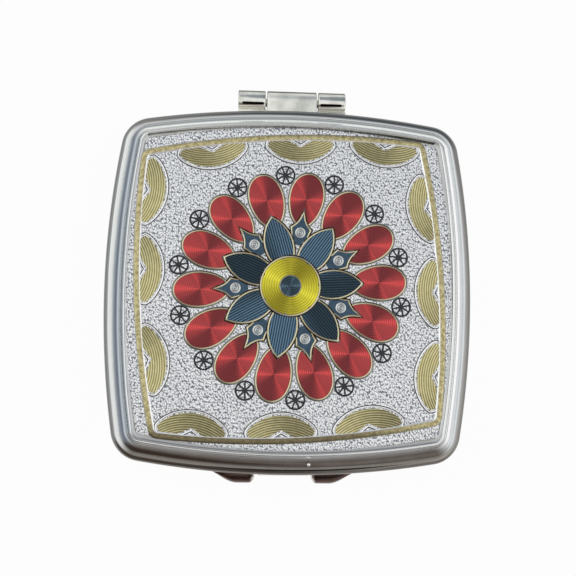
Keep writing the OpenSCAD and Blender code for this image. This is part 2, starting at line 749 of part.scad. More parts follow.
// Lays flat shapes on the plaque's face at the ornament's turn
module on_plaque(thick) {
    translate([0, 0, plaque_z]) rotate(art_turn) linear_extrude(thick) children();
}

module plaque_film() {
    color("white") slab(plaque_in + plaque_gap, plaque_r, lid_z + seat_h, lid_z + seat_h + film_t);
}

module plaque() {
    color("gainsboro") {
        slab(plaque_in, plaque_r, plaque_z - plaque_t, plaque_z);
        on_plaque(rim_t) {
            difference() {
                disc_shape(rim_w);
                disc_shape(0);
            }
            difference() {
                blue_petal_shapes(rim_w);
                blue_petal_shapes(0);
                disc_shape(rim_w / 2);
            }
            difference() {
                red_petal_shapes(rim_w);
                red_petal_shapes(0);
                blue_petal_shapes(rim_w / 2);
                point_shapes(rim_w / 2);
            }
            difference() {
                point_shapes(rim_w);
                point_shapes(0);
                blue_petal_shapes(rim_w / 2);
            }
        }
        on_plaque(rim_t) difference() {
            crescent_shapes(rim_w);
            crescent_shapes(0);
        }
    }
}

module gold_border() {
    color("khaki") on_plaque(field_t) difference() {
        polygon(plan(border_in, border_r));
        polygon(plan(border_in + border_w, border_r - border_w));
        crescent_shapes(rim_w);
    }
}

module gold_crescents() {
    color("darkkhaki") on_plaque(field_t) crescent_shapes(0);
}

module wheels() {
    color("black") on_plaque(field_t) wheel_shapes();
}

module red_petals() {
    color("firebrick") on_plaque(field_t) difference() {
        red_petal_shapes(0);
        blue_petal_shapes(rim_w);
        point_shapes(rim_w);
    }
}

module blue_petals() {
    color("darkslategray") on_plaque(field_t) difference() {
        blue_petal_shapes(0);
        disc_shape(rim_w);
    }
}

module blue_points() {
    color("steelblue") on_plaque(field_t) difference() {
        point_shapes(0);
        blue_petal_shapes(rim_w);
        pearl_shapes(line_w);
    }
}

module pearl_rings() {
    color("white") on_plaque(rim_t) difference() {
        pearl_shapes(0);
        pearl_shapes(-pearl_r / 2);
    }
}

module yellow_disc() {
    color("gold") on_plaque(field_t) difference() {
        disc_shape(0);
        circle(r = boss_r + rim_w, $fn = round_fn);
    }
}

module blue_boss() {
    color("navy") on_plaque(rim_t) circle(r = boss_r, $fn = round_fn);
}

base_shell();
base_liner();
base_mirror();
base_mirror_pad();
rest_bumpers();
hinge_pin();
push_button();
button_spring();
lid_shell();
lid_liner();
lid_mirror();
lid_mirror_pad();
strike_tongue();
strike_rivets();
plaque_film();
plaque();
gold_border();
gold_crescents();
wheels();
red_petals();
blue_petals();
blue_points();
pearl_rings();
yellow_disc();
blue_boss();
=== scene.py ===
# Compact mirror: the looks of a chromed case with a lacquered, embossed plaque.
# Shapes are worked out in millimetres and put into the meshes in metres; +Y is towards the hinge, +Z up.
import math

import bmesh
import bpy
import numpy as np
from mathutils import Matrix, Vector


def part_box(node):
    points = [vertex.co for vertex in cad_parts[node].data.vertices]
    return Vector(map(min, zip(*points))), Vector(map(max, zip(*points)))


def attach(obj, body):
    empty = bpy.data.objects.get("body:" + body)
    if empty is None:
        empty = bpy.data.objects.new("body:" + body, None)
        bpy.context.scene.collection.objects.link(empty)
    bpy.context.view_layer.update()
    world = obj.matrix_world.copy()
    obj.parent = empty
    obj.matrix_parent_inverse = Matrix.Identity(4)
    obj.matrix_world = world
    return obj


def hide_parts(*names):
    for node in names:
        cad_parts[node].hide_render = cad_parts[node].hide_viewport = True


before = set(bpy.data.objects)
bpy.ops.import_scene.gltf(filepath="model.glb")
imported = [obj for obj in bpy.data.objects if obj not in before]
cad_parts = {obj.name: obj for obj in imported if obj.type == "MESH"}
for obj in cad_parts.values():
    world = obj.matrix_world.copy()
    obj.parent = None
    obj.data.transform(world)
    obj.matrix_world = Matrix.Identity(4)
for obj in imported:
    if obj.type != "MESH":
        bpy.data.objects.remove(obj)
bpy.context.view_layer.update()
mm = 0.001
print("stage: frame loaded, nodes", len(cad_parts))


# A node's lowest and highest corners, in millimetres
def nodeBox(node):
    return np.array(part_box(node)) / mm


pinMiddle, buttonMiddle = nodeBox("hinge_pin").mean(0), nodeBox("push_button").mean(0)

# The case in millimetres: what the frame shows is read from it, the rest repeats the source's sizes
case = {
    "half": nodeBox("base_shell")[1][0],
    "sideRadius": 157,
    "cornerRadius": 5.6,
    "baseTop": 5.6,
    "lidTall": 5.9,
    "face": nodeBox("red_petals")[0][2],
    "artTurn": math.radians(3.3),
    "plaqueInset": 4.3,
    "hinge": pinMiddle[1:],
    "catchX": buttonMiddle[0],
    "sideSteps": 64,
    "cornerSteps": 22,
}
case["lidRim"] = nodeBox("lid_shell")[1][2] - case["lidTall"]
case["back"] = case["sideRadius"] - case["half"]


# Values broadcast against each other and stacked as one last axis
def stacked(*values):
    return np.stack(np.broadcast_arrays(*values), -1)


# Faces of a grid of rows by columns, with the last row or column joined to the first where it wraps
def gridFaces(grid, wrapRows=False, wrapCols=True):
    rows, cols = grid.shape[:2]
    i = np.arange(rows if wrapRows else rows - 1)[:, None]
    j = np.arange(cols if wrapCols else cols - 1)[None, :]
    nextI, nextJ = (i + 1) % rows, (j + 1) % cols
    corners = [i * cols + j, i * cols + nextJ, nextI * cols + nextJ, nextI * cols + j]
    return stacked(*corners).reshape(-1, 4)


# Corner UVs of the same grid from values by column and by row, with one more value where it wraps
def gridUv(u, v):
    both = stacked(u, v)
    return np.stack([both[:-1, :-1], both[:-1, 1:], both[1:, 1:], both[1:, :-1]], -2).reshape(-1, 4, 2)


# Grids joined as one: points in one list, and each grid's faces counted on from the points before it
def joined(grids):
    points = [grid.reshape(-1, 3) for grid, faces in grids]
    starts = np.cumsum([0] + [len(part) for part in points[:-1]])
    return np.concatenate(points), np.concatenate([faces + s for (grid, faces), s in zip(grids, starts)])


# An object in the scene
def addObject(name, data):
    piece = bpy.data.objects.new(name, data)
    bpy.context.scene.collection.objects.link(piece)
    return piece


# One material for a mesh, and smooth shading with its edges sharp above an angle in degrees
def dressMesh(mesh, material, sharp):
    mesh.materials.clear()
    mesh.materials.append(material)
    mesh.shade_smooth()
    mesh.set_sharp_from_angle(angle=math.radians(sharp))


# A mesh object from points in millimetres: doubled points and poles are merged, and faces turned out
def makePiece(name, points, faces, material, body, replaces=(), uv=None, sharp=40):
    mesh = bpy.data.meshes.new(name)
    mesh.from_pydata(np.asarray(points, float).reshape(-1, 3) * mm, [], np.asarray(faces))
    if uv is not None:
        layer = mesh.uv_layers.new(name="UVMap")
        layer.data.foreach_set("uv", np.asarray(uv, np.float32).ravel())
    work = bmesh.new()
    work.from_mesh(mesh)
    bmesh.ops.remove_doubles(work, verts=work.verts, dist=1e-7)
    bmesh.ops.recalc_face_normals(work, faces=work.faces)
    work.to_mesh(mesh)
    work.free()
    dressMesh(mesh, material, sharp)
    piece = addObject(name, mesh)
    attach(piece, body)
    if replaces:
        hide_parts(*replaces)
    return piece


# A copy of a CAD node with its edges rounded, for a piece whose CAD shape is right
def roundedCopy(node, width, material, body, segments):
    crease = 35
    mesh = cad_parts[node].data.copy()
    work = bmesh.new()
    work.from_mesh(mesh)
    bmesh.ops.remove_doubles(work, verts=work.verts, dist=2e-6)
    bmesh.ops.dissolve_limit(work, angle_limit=math.radians(1), verts=work.verts, edges=work.edges)
    work.to_mesh(mesh)
    work.free()
    dressMesh(mesh, material, crease)
    piece = addObject("rounded_" + node, mesh)
    rounding = piece.modifiers.new("rounding", "BEVEL")
    rounding.width = width * mm
    rounding.segments = segments
    rounding.limit_method = "ANGLE"
    rounding.angle_limit = math.radians(crease)
    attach(piece, body)
    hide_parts(node)


# Unit arrows at angles from +X: the cosine and the sine of each
def arrows(angle):
    return np.stack([np.cos(angle), np.sin(angle)], -1)


# Even angles of a whole turn
def wholeTurn(steps):
    return np.linspace(0, 2 * math.pi, steps, endpoint=False)


# Points turned about the middle by an angle; heights, where there are any, stay
def spun(points, angle):
    c, s = np.cos(angle), np.sin(angle)
    x, y = points[..., 0], points[..., 1]
    return np.concatenate([np.stack([x * c - y * s, x * s + y * c], -1), points[..., 2:]], -1)


# Flat points given their heights
def lifted(flat, height):
    return np.concatenate([flat, np.broadcast_to(height, flat.shape[:-1])[..., None]], -1)


# Outlines in Y and Z given their places along X
def stationed(along, rows):
    return np.concatenate([np.broadcast_to(along[:, None, None], rows.shape[:2] + (1,)), rows], -1)


# Corners of a drawn line rounded by a parabola that starts and ends a radius away from each, or nearly half
# way to the next where that is nearer
def easedLine(points, radius, steps=4, closed=True):
    points = np.asarray(points, float)
    before, after = np.roll(points, 1, 0) - points, np.roll(points, -1, 0) - points
    reachBefore, reachAfter = np.linalg.norm(before, axis=1), np.linalg.norm(after, axis=1)
    start = points + before * (np.minimum(radius, reachBefore / 2.1) / reachBefore)[:, None]
    end = points + after * (np.minimum(radius, reachAfter / 2.1) / reachAfter)[:, None]
    t = np.linspace(0, 1, steps)[None, :, None]
    curve = (1 - t) ** 2 * start[:, None] + 2 * t * (1 - t) * points[:, None] + t ** 2 * end[:, None]
    if closed:
        return curve.reshape(-1, 2)
    return np.concatenate([points[:1], curve[1:-1].reshape(-1, 2), points[-1:]])


# Points from start to end on a parabola that swells by sag to the left of the way
def bowedLine(start, end, sag, steps):
    start, end = np.asarray(start, float), np.asarray(end, float)
    way = end - start
    left = np.array([-way[1], way[0]]) / np.linalg.norm(way)
    t = np.linspace(0, 1, steps)[:, None]
    return start + way * t + left * 4 * sag * t * (1 - t)


# Both coordinates of the place on the diagonal where two sides' arcs of a radius cross
def crossing(radius):
    return (math.sqrt(2 * radius ** 2 - case["back"] ** 2) - case["back"]) / 2


# The case's plan drawn in by an inset, as places and outward arrows: each side is an arc about a point
# behind the middle, each corner an arc that touches two sides, and one quarter is turned to all four
def bowedSquare(inset, cornerRadius, sideSteps, cornerSteps):
    sideRadius = case["sideRadius"] - inset
    middle = crossing(sideRadius - cornerRadius)
    swing = math.atan2(middle, middle + case["back"])
    side = np.linspace(-swing, swing, sideSteps, endpoint=False)
    corner = np.linspace(swing, math.pi / 2 - swing, cornerSteps, endpoint=False)
    normal = arrows(np.concatenate([side, corner]))
    onSide = np.arange(sideSteps + cornerSteps)[:, None] < sideSteps
    hub = np.where(onSide, [-case["back"], 0], [middle, middle])
    place = hub + np.where(onSide, sideRadius, cornerRadius) * normal
    return [np.concatenate([spun(part, k * math.pi / 2) for k in range(4)]) for part in (place, normal)]


edgePlace, edgeNormal = bowedSquare(0, case["cornerRadius"], case["sideSteps"], case["cornerSteps"])


# A section of insets and heights carried round the case's plan: its rows of points and their insets. Its
# first and last rows are repeated towards the middle by shares of the way out, and close at a pole
def sweptCase(section, outer, lift):
    line = easedLine(outer, section["crease"], 3, closed=False)
    poles = np.array(section["poleShares"])
    line = np.concatenate([line[:1]] * len(poles) + [line] + [line[-1:]] * len(poles))
    share = np.concatenate([poles, np.ones(len(line) - 2 * len(poles)), poles[::-1]])
    flat = (edgePlace - line[:, :1, None] * edgeNormal) * share[:, None, None]
    return lifted(flat, (line[:, 1] + lift)[:, None]), line[:, 0]


# Materials


# A node tree with short ways to add nodes to it
class Tree:
    # Starts from no nodes
    def __init__(self, tree):
        self.tree = tree
        tree.nodes.clear()

    # Joins a socket to an input, or sets a plain value there
    def join(self, value, socket):
        if isinstance(value, bpy.types.NodeSocket):
            self.tree.links.new(value, socket)
        else:
            socket.default_value = value

    # A new node with its settings, and its inputs by number or by name
    def add(self, kind, links=None, **settings):
        node = self.tree.nodes.new(kind if kind.startswith("NodeGroup") else "ShaderNode" + kind)
        for key, value in settings.items():
            setattr(node, key, value)
        for socket, value in (links or {}).items():
            self.join(value, node.inputs[socket])
        return node

    # One sum of plain maths over up to three values
    def math(self, operation, *values):
        return self.add("Math", dict(enumerate(values)), operation=operation).outputs[0]

    # A value carried from one range to another, held at both ends
    def between(self, value, low, high, toLow=0.0, toHigh=1.0, smooth=False):
        way = "SMOOTHSTEP" if smooth else "LINEAR"
        links = {0: value, 1: low, 2: high, 3: toLow, 4: toHigh}
        return self.add("MapRange", links, interpolation_type=way).outputs[0]

    # Half and half of one, swinging with the sine or cosine of an angle
    def swing(self, operation, angle):
        return self.math("MULTIPLY_ADD", self.math(operation, angle), 0.5, 0.5)

    # Colours by place along a value; a plain number is a grey
    def ramp(self, value, stops, interpolation="LINEAR"):
        node = self.add("ValToRGB", {0: value})
        node.color_ramp.interpolation = interpolation
        while len(node.color_ramp.elements) < len(stops):
            node.color_ramp.elements.new(0.5)
        for element, (place, colour) in zip(node.color_ramp.elements, stops):
            element.position = place
            element.color = (*(colour if isinstance(colour, tuple) else (colour,) * 3), 1)
        return node.outputs[0]

    # The first colour where the factor is nought, the second where it is one
    def mix(self, factor, first, second):
        node = self.add("Mix", data_type="RGBA")
        for number, value in ((0, factor), (6, first), (7, second)):
            self.join((*value, 1) if isinstance(value, tuple) else value, node.inputs[number])
        return node.outputs[2]

    # One of a vector's three numbers
    def axis(self, vector, number):
        return self.add("SeparateXYZ", {0: vector}).outputs[number]

    # A vector with each of its numbers multiplied by a factor
    def scaled(self, vector, factors):
        return self.add("VectorMath", {0: vector, 1: factors}, operation="MULTIPLY").outputs[0]

    # Object coordinates in millimetres
    def place(self):
        return self.scaled(self.add("TexCoord").outputs["Object"], (1 / mm,) * 3)

    # One number of the object's own normal
    def normal(self, number):
        return self.axis(self.add("TexCoord").outputs["Normal"], number)

    # One of the two UV values
    def uv(self, number):
        return self.axis(self.add("UVMap", uv_map="UVMap").outputs[0], number)

    # Cloudy noise over the object, as a value and as a colour
    def noise(self, scale, detail=2.0, roughness=0.5, place=None):
        links = {"Vector": place or self.place(), "Scale": scale, "Detail": detail, "Roughness": roughness}
        return self.add("TexNoise", links).outputs

    # A shader group placed with its own values: its outputs
    def group(self, group, **values):
        return self.add("Group", values, node_tree=group).outputs

    # Inputs of the material's own shader, with an underscore for a space
    def shade(self, **values):
        for label, value in values.items():
            self.join(value, self.shader.inputs[label.replace("_", " ")])

    # Bumps over the whole material, with their depth in millimetres
    def bump(self, height, strength, depth):
        node = self.add("Bump", {"Height": height, "Strength": strength, "Distance": depth * mm})
        self.shade(Normal=node.outputs[0])


# A shader group of plain values: its inputs with their defaults, its outputs, and what joins them
def shaderGroup(name, inputs, outputs, build):
    group = bpy.data.node_groups.new(name, "ShaderNodeTree")
    for label, value in inputs.items():
        socket = group.interface.new_socket(label, in_out="INPUT", socket_type="NodeSocketFloat")
        socket.default_value = value
    for label in outputs:
        group.interface.new_socket(label, in_out="OUTPUT", socket_type="NodeSocketFloat")
    tree = Tree(group)
    start, end = tree.add("NodeGroupInput"), tree.add("NodeGroupOutput")
    for label, socket in build(tree, start.outputs).items():
        tree.join(socket, end.inputs[label])
    return group


# Smudges and faint rubbing from handling: roughness between two values
def buildHandling(tree, given):
    place = tree.place()
    cloud = tree.noise(given["Scale"], 5.0, 0.6, place)[0]
    spread = tree.between(cloud, 0.35, 0.75, given["Low"], given["High"])
    return {"Roughness": spread, "Height": tree.noise(2.2, 3.0, place=place)[0]}


# Hammered foil: small swells pressed close together and drawn out a little along Y, bent by a finer
# noise, as a mask that runs from their hollows to their crests
def buildHammered(tree, given):
    drawn = tree.scaled(tree.place(), (1.25, 0.8, 1.0))
    bend = {0: tree.noise(2.0, place=drawn)[1], 1: (0.5, 0.5, 0.5), 2: drawn}
    bent = tree.add("VectorMath", bend, operation="MULTIPLY_ADD").outputs[0]
    swells = {"Vector": bent, "Scale": given["Scale"], "Randomness": 0.85}
    cells = tree.add("TexVoronoi", swells, voronoi_dimensions="2D").outputs[0]
    return {"Mask": tree.between(cells, given["High"], given["Low"])}


# Turned or ruled grooves: a sine of the second UV over the pitch as a height, and the power of what is
# left below it as a mask of the groove floors
def buildGrooves(tree, given):
    phase = tree.math("MULTIPLY", tree.math("DIVIDE", tree.uv(1), given["Pitch"]), 2 * math.pi)
    wave = tree.swing("SINE", phase)
    return {"Height": wave, "Mask": tree.math("POWER", tree.math("SUBTRACT", 1.0, wave), given["Sharpness"])}


# A painted sheen of turned grooves, by the compass angle held in the first UV: a broad pale pair of
# wedges, a narrow pair across it and dark between, which Broad softens to two slow swings round the disc
def buildTurnedSheen(tree, given):
    turned = tree.math("SUBTRACT", tree.uv(0), given["Turn"])
    half = tree.math("FRACT", tree.math("ADD", tree.math("MULTIPLY", turned, 2.0), 0.5))
    wedges = [(0.0, 0.1), (0.14, 0.75), (0.19, 0.3), (0.4, 0.35), (0.5, 1.0), (0.58, 0.3), (0.72, 0.0),
        (0.96, 0.0), (1.0, 0.1)]
    slow = tree.swing("COSINE", tree.math("MULTIPLY", turned, 4 * math.pi))
    return {"Mask": tree.mix(given["Broad"], tree.ramp(half, wedges, "EASE"), slow)}


# A painted sheen of straight grooves on petals that point away from the middle: light and dark change
# twice round the compass, palest at the given angle
def buildRuledSheen(tree, given):
    place = tree.place()
    angle = tree.math("ARCTAN2", tree.axis(place, 1), tree.axis(place, 0))
    turned = tree.math("MULTIPLY", tree.math("SUBTRACT", angle, given["Palest"]), 2.0)
    return {"Mask": tree.between(tree.swing("COSINE", turned), 0.2, 0.7, smooth=True)}


# Masks for painted shade and painted reflections by how high the object's own normals point: Side below
# Steep, for painted shade on steep sides, Front where they also lean to the front, for a painted reflection
# of the front, and Upright on walls and undersides, below Wall, for a paler painted reflection
def buildFacingShade(tree, given):
    high = tree.normal(2)
    low, front = tree.between(high, 0.75, 0.45), tree.between(tree.normal(1), -0.35, -0.7)
    wallEnd = tree.math("SUBTRACT", given["Wall"], 0.09)
    return {"Side": tree.between(high, given["Steep"], given["Full"]),
        "Front": tree.math("MULTIPLY", front, low), "Upright": tree.between(high, given["Wall"], wallEnd)}


handling = shaderGroup("handling", {"Scale": 0.22, "Low": 0.05, "High": 0.11}, ("Roughness", "Height"),
    buildHandling)
hammered = shaderGroup("hammered foil", {"Scale": 2.9, "Low": 0.22, "High": 0.72}, ("Mask",), buildHammered)
grooves = shaderGroup("grooves", {"Pitch": 0.38, "Sharpness": 2.0}, ("Height", "Mask"), buildGrooves)
turnedSheen = shaderGroup("turned sheen", {"Turn": 0.0, "Broad": 0.0}, ("Mask",), buildTurnedSheen)
ruledSheen = shaderGroup("ruled sheen", {"Palest": math.radians(67.5)}, ("Mask",), buildRuledSheen)
facingShade = shaderGroup("painted shade by facing", {"Steep": 0.55, "Full": 0.25, "Wall": 0.14},
    ("Side", "Front", "Upright"), buildFacingShade)


# A new material's tree, with a Principled shader, its plain values and its output
def newMaterial(name, **plain):
    material = bpy.data.materials.new(name)
    material.use_nodes = True
    tree = Tree(material.node_tree)
    tree.material, tree.shader = material, tree.add("BsdfPrincipled")
    tree.output = tree.add("OutputMaterial", {0: tree.shader.outputs[0]})
    tree.shade(**plain)
    return tree


smudge = {"strength": 0.12, "depth": 0.02}


# A surface handled a while: smudges in its roughness, and a faint unevenness, both by noise
def handledFinish(tree, **rub):
    wornAndShaded = tree.group(handling, **rub)
    tree.shade(Roughness=wornAndShaded["Roughness"])
    tree.bump(wornAndShaded["Height"], smudge["strength"], smudge["depth"])


# Platings of the case: two tones in clouds, and what lies over them: painted shade on steep sides, a
# painted reflection where they face the front, and uprightTone, a paler painted reflection, on walls and
# undersides
uprightTone = (0.74, 0.73, 0.71)
# Painted shade: the steep sides of the hinge's pieces painted near black, for a dark outline
blackSideShade = {"side": (0.03, 0.022, 0.02), "facingPaint": {"Steep": 0.8, "Full": 0.68, "Wall": 0.46}}
platings = {
    "plain": {"tint": (0.88, 0.87, 0.85), "wornAndShaded": (0.72, 0.71, 0.67), "side": (0.74, 0.73, 0.71),
        "front": (0.64, 0.61, 0.58), "rub": {"Low": 0.06, "High": 0.14}, "clouds": 0.5, "facingPaint": {}},
    "cloudy": {"tint": (0.94, 0.94, 0.86), "wornAndShaded": (0.58, 0.59, 0.53), **blackSideShade,
        "front": (0.7, 0.7, 0.64), "rub": {"Low": 0.3, "High": 0.42}, "clouds": 0.3},
    "barrel": {"tint": (0.84, 0.85, 0.78), "wornAndShaded": (0.62, 0.62, 0.56), **blackSideShade,
        "front": (0.8, 0.8, 0.74), "rub": {"Low": 0.06, "High": 0.12}, "clouds": 0.6,
        # A painted dark reflection along each outer barrel, with a painted pale reflection below it
        "bar": {"tone": (0.015, 0.015, 0.013), "below": (0.92, 0.9, 0.8), "facing": -0.37, "half": 0.13,
            "soft": 0.3, "middle": 7.1, "reach": 1.95, "fade": 0.12}},
    # The lugs' plating: chrome painted dark brown all over as a painted reflection of a brown surround, with
    # a painted highlight on the noses
    "brownReflection": {"tint": (0.13, 0.085, 0.07), "wornAndShaded": (0.07, 0.045, 0.038), "side": (0.1, 0.07, 0.06),
        "front": (0.1, 0.065, 0.055), "rub": {"Low": 0.1, "High": 0.2}, "clouds": 0.6, "facingPaint": {},
        "nose": {"tone": (0.6, 0.56, 0.52), "from": 5.75, "to": 5.35}},
}


# Chrome plating: the tint gives way to the worn tone where noise is high, then painted shade and painted
# reflections lie over it by the masks of the facing group
def chromeMaterial(name, look):
    tree = newMaterial(name, Metallic=1.0)
    cloud = tree.between(tree.noise(look["clouds"], 4.0)[0], 0.35, 0.65)
    tone = tree.mix(cloud, look["tint"], look["wornAndShaded"])
    facingPaint = tree.group(facingShade, **look["facingPaint"])
    for mask, over in (("Side", look["side"]), ("Front", look["front"]), ("Upright", uprightTone)):
        tone = tree.mix(facingPaint[mask], tone, over)
    if "nose" in look:
        tone = noseHighlight(tree, tone, look["nose"])
    if "bar" in look:
        tone = barrelReflectionBar(tree, tone, look["bar"])
    tree.shade(Base_Color=tone)
    handledFinish(tree, **look["rub"])
    return tree.material


# A painted highlight on the lugs' noses, by the distance along X from the catch
def noseHighlight(tree, tone, nose):
    offCatch = tree.math("ABSOLUTE", tree.math("SUBTRACT", tree.axis(tree.place(), 0), case["catchX"]))
    return tree.mix(tree.between(offCatch, nose["from"], nose["to"], smooth=True), tone, nose["tone"])


# A painted dark reflection: a bar along each barrel, near one lean of the object's normal and near the
# barrel's middle, with a painted pale reflection on all that leans further forwards
def barrelReflectionBar(tree, tone, bar):
    lean = tree.normal(1)
    offLean = tree.math("ABSOLUTE", tree.math("SUBTRACT", lean, bar["facing"]))
    along = tree.math("ABSOLUTE", tree.axis(tree.place(), 0))
    offMiddle = tree.math("ABSOLUTE", tree.math("SUBTRACT", along, bar["middle"]))
    across = tree.between(offLean, bar["half"], bar["half"] * (1 - bar["soft"]))
    ends = tree.between(offMiddle, bar["reach"], bar["reach"] - bar["fade"])
    tone = tree.mix(tree.between(lean, bar["facing"], bar["facing"] - bar["half"]), tone, bar["below"])
    return tree.mix(tree.math("MULTIPLY", across, ends), tone, bar["tone"])


# Painted reflections and shade on the lid's mouldings, which lie differently along each side: tones by
# the distance in from the edge in millimetres, over the frame's whole depth
frameDepth = 4.3
frameTones = {
    "left": [(0.0, 0.2), (0.72, 0.22), (0.95, (0.82, 0.83, 0.82)), (1.5, (0.82, 0.84, 0.82)),
        (1.8, (0.28, 0.31, 0.35)), (2.4, (0.18, 0.21, 0.26)), (2.7, (0.55, 0.6, 0.65)),
        (2.98, (0.34, 0.38, 0.43)), (3.2, (0.5, 0.54, 0.6)), (3.4, (0.56, 0.6, 0.66)),
        (3.65, (0.26, 0.29, 0.32)), (3.8, (0.3, 0.33, 0.36)), (4.0, (0.95, 0.97, 0.98)),
        (4.2, (0.5, 0.52, 0.54))],
    "right": [(0.0, (0.2, 0.19, 0.18)), (0.7, (0.22, 0.21, 0.2)), (1.0, 0.34), (1.35, (0.84, 0.86, 0.86)),
        (1.65, (0.72, 0.76, 0.77)), (2.1, 1.0), (3.5, 1.0), (3.7, (0.8, 0.82, 0.83)),
        (3.82, (0.7, 0.72, 0.72)), (4.05, (0.97, 0.98, 0.98)), (4.2, (0.5, 0.52, 0.52))],
    "back": [(0.0, (0.2, 0.2, 0.19)), (0.92, (0.2, 0.2, 0.19)), (1.15, (0.46, 0.47, 0.46)),
        (1.4, (0.68, 0.7, 0.7)), (1.7, (0.5, 0.52, 0.52)), (1.95, (0.36, 0.38, 0.38)),
        (2.4, (0.9, 0.94, 0.9)), (2.6, (1.0, 1.0, 0.99)), (3.6, (1.0, 1.0, 0.98)),
        (3.85, (0.56, 0.58, 0.56)), (4.1, (0.95, 0.97, 0.93)), (4.25, 0.06)],
    "front": [(0.0, (0.12, 0.095, 0.08)), (0.55, (0.14, 0.125, 0.11)), (0.85, (0.3, 0.27, 0.24)),
        (1.05, (0.2, 0.18, 0.155)), (1.35, (0.155, 0.14, 0.12)), (1.65, (0.125, 0.095, 0.078)),
        (2.5, (0.115, 0.092, 0.078)), (2.9, (0.14, 0.135, 0.13)), (3.1, 0.5), (3.2, 1.0), (3.6, 1.0),
        (3.75, (0.84, 0.86, 0.86)), (3.95, (0.36, 0.38, 0.38)), (4.2, (0.4, 0.4, 0.41))],
}

# How far the plating there gives up its metal, by the same distances, so that the painted reflections in
# the cove show as a plain surface
coveMetalDrop = {
    "sides": [(2.9, 0.0), (3.1, 0.6), (3.55, 0.6), (3.7, 0.0)],
    "back": [(2.3, 0.0), (2.6, 0.6), (3.6, 0.6), (3.8, 0.0)],
}
# Wandering and clouds of a real second tone over the frame, and painted shade on its steep outer edge
frameReflectionAndClouds = {
    "wander": 0.04, "turnOver": 3.0, "lean": 2.5, "clouds": 0.5, "cloudShare": 0.16,
    "cloudTone": (0.5, 0.5, 0.48), "outerFrom": 1.5, "outerTo": 1.3, "outerShade": (0.16, 0.14, 0.13),
}


# Each side's painted reflections run across the frame, and change over from side to side along the
# diagonals
def frameMaterial():
    tree, look = newMaterial("lid plating", Metallic=1.0), frameReflectionAndClouds
    wander = tree.math("MULTIPLY_ADD", tree.noise(0.12, 3.0)[0], look["wander"], -look["wander"] / 2)
    inset = tree.math("ADD", tree.uv(1), wander)
    tone, metalDrops = [{side: tree.ramp(inset, [(at / frameDepth, value) for at, value in stops])
        for side, stops in table.items()} for table in (frameTones, coveMetalDrop)]
    x, y = tree.axis(tree.place(), 0), tree.axis(tree.place(), 1)
    rightward, backward = [tree.between(v, -look["turnOver"], look["turnOver"], smooth=True) for v in (x, y)]
    lean = tree.math("SUBTRACT", tree.math("ABSOLUTE", y), tree.math("ABSOLUTE", x))
    alongX = tree.between(lean, -look["lean"], look["lean"], smooth=True)
    sides = tree.mix(rightward, tone["left"], tone["right"])
    ends = tree.mix(backward, tone["front"], tone["back"])
    whole = tree.mix(alongX, sides, ends)
    metalDrop = tree.mix(tree.math("MULTIPLY", alongX, backward), metalDrops["sides"], metalDrops["back"])
    cloud = tree.math("MULTIPLY", tree.noise(look["clouds"], 4.0)[0], look["cloudShare"])
    whole = tree.mix(cloud, whole, look["cloudTone"])
    facingPaint = tree.group(facingShade)
    outer = tree.between(inset, look["outerFrom"] / frameDepth, look["outerTo"] / frameDepth)
    whole = tree.mix(tree.math("MULTIPLY", facingPaint["Side"], outer), whole, look["outerShade"])
    whole = tree.mix(facingPaint["Upright"], whole, uprightTone)
    tree.shade(Metallic=tree.math("SUBTRACT", 1.0, metalDrop), Base_Color=whole)
    handledFinish(tree)
    return tree.material


# Painted shade for the foil's hollows and a painted highlight for its crests
foilLook = {"crestHighlight": (0.98, 0.99, 1.0), "hollowShade": (0.2, 0.21, 0.245), "rough": 0.3, "depth": 0.06}


# Foil whose colour and height both follow the hammered mask: from painted shade in its hollows to a
# painted highlight on its crests
def foilMaterial():
    tree = newMaterial("hammered foil", Metallic=1.0, Roughness=foilLook["rough"])
    press = tree.group(hammered)["Mask"]
    tree.shade(Base_Color=tree.mix(press, foilLook["hollowShade"], foilLook["crestHighlight"]))
    tree.bump(press, 1.0, foilLook["depth"])
    return tree.material


# Ridges of foil: colours by the share of the way across, from the inner foot to the outer one; the
# darkest stops are painted shade in the grooves beside the ridges and between the pearls' rings
paleGold, grooveShade, silverLip = (0.7, 0.63, 0.42), (0.03, 0.026, 0.02), (0.95, 0.95, 0.98)
footGrey, bossPale = (0.5, 0.5, 0.52), (0.42, 0.42, 0.34)
pearlPale, pearlGrooveShade = (0.62, 0.64, 0.63), (0.2, 0.22, 0.23)
ridgeStops = {
    "gold outline": [(0.0, grooveShade), (0.08, paleGold), (0.5, paleGold), (0.58, grooveShade)],
    "red petal outline": [(0.0, (0.08, 0.05, 0.04)), (0.12, paleGold), (0.46, paleGold),
        (0.58, (0.12, 0.11, 0.09)), (0.75, (0.14, 0.13, 0.12)), (0.95, (0.4, 0.4, 0.41))],
    "silver outline": [(0.0, footGrey), (0.1, 1.0), (0.55, 1.0), (0.66, grooveShade), (0.9, grooveShade),
        (1.0, footGrey)],
    "pearl silver": [(0.0, pearlPale), (0.12, pearlPale), (0.2, pearlGrooveShade), (0.28, pearlGrooveShade),
        (0.36, pearlPale), (0.46, pearlPale), (0.54, pearlGrooveShade), (0.62, pearlGrooveShade), (0.7, pearlPale),
        (0.9, pearlPale), (1.0, pearlGrooveShade)],
    "boss ring": [(0.227, grooveShade), (0.459, bossPale), (0.768, bossPale), (1.0, grooveShade)],
}
ridgeWear = {"scale": 1.3, "from": 0.55, "to": 0.75, "most": 0.3, "rough": 0.3, "bump": 0.3, "depth": 0.02}


# The colours follow the second UV, with silver patches where noise is high
def ridgeMaterial(name, stops):
    look = ridgeWear
    tree = newMaterial(name, Metallic=1.0, Roughness=look["rough"])
    wearAndShade = tree.noise(look["scale"], 4.0)[0]
    silver = tree.between(wearAndShade, look["from"], look["to"], 0.0, look["most"])
    tree.shade(Base_Color=tree.mix(silver, tree.ramp(tree.uv(1), stops), silverLip))
    tree.bump(wearAndShade, look["bump"], look["depth"])
    return tree.material
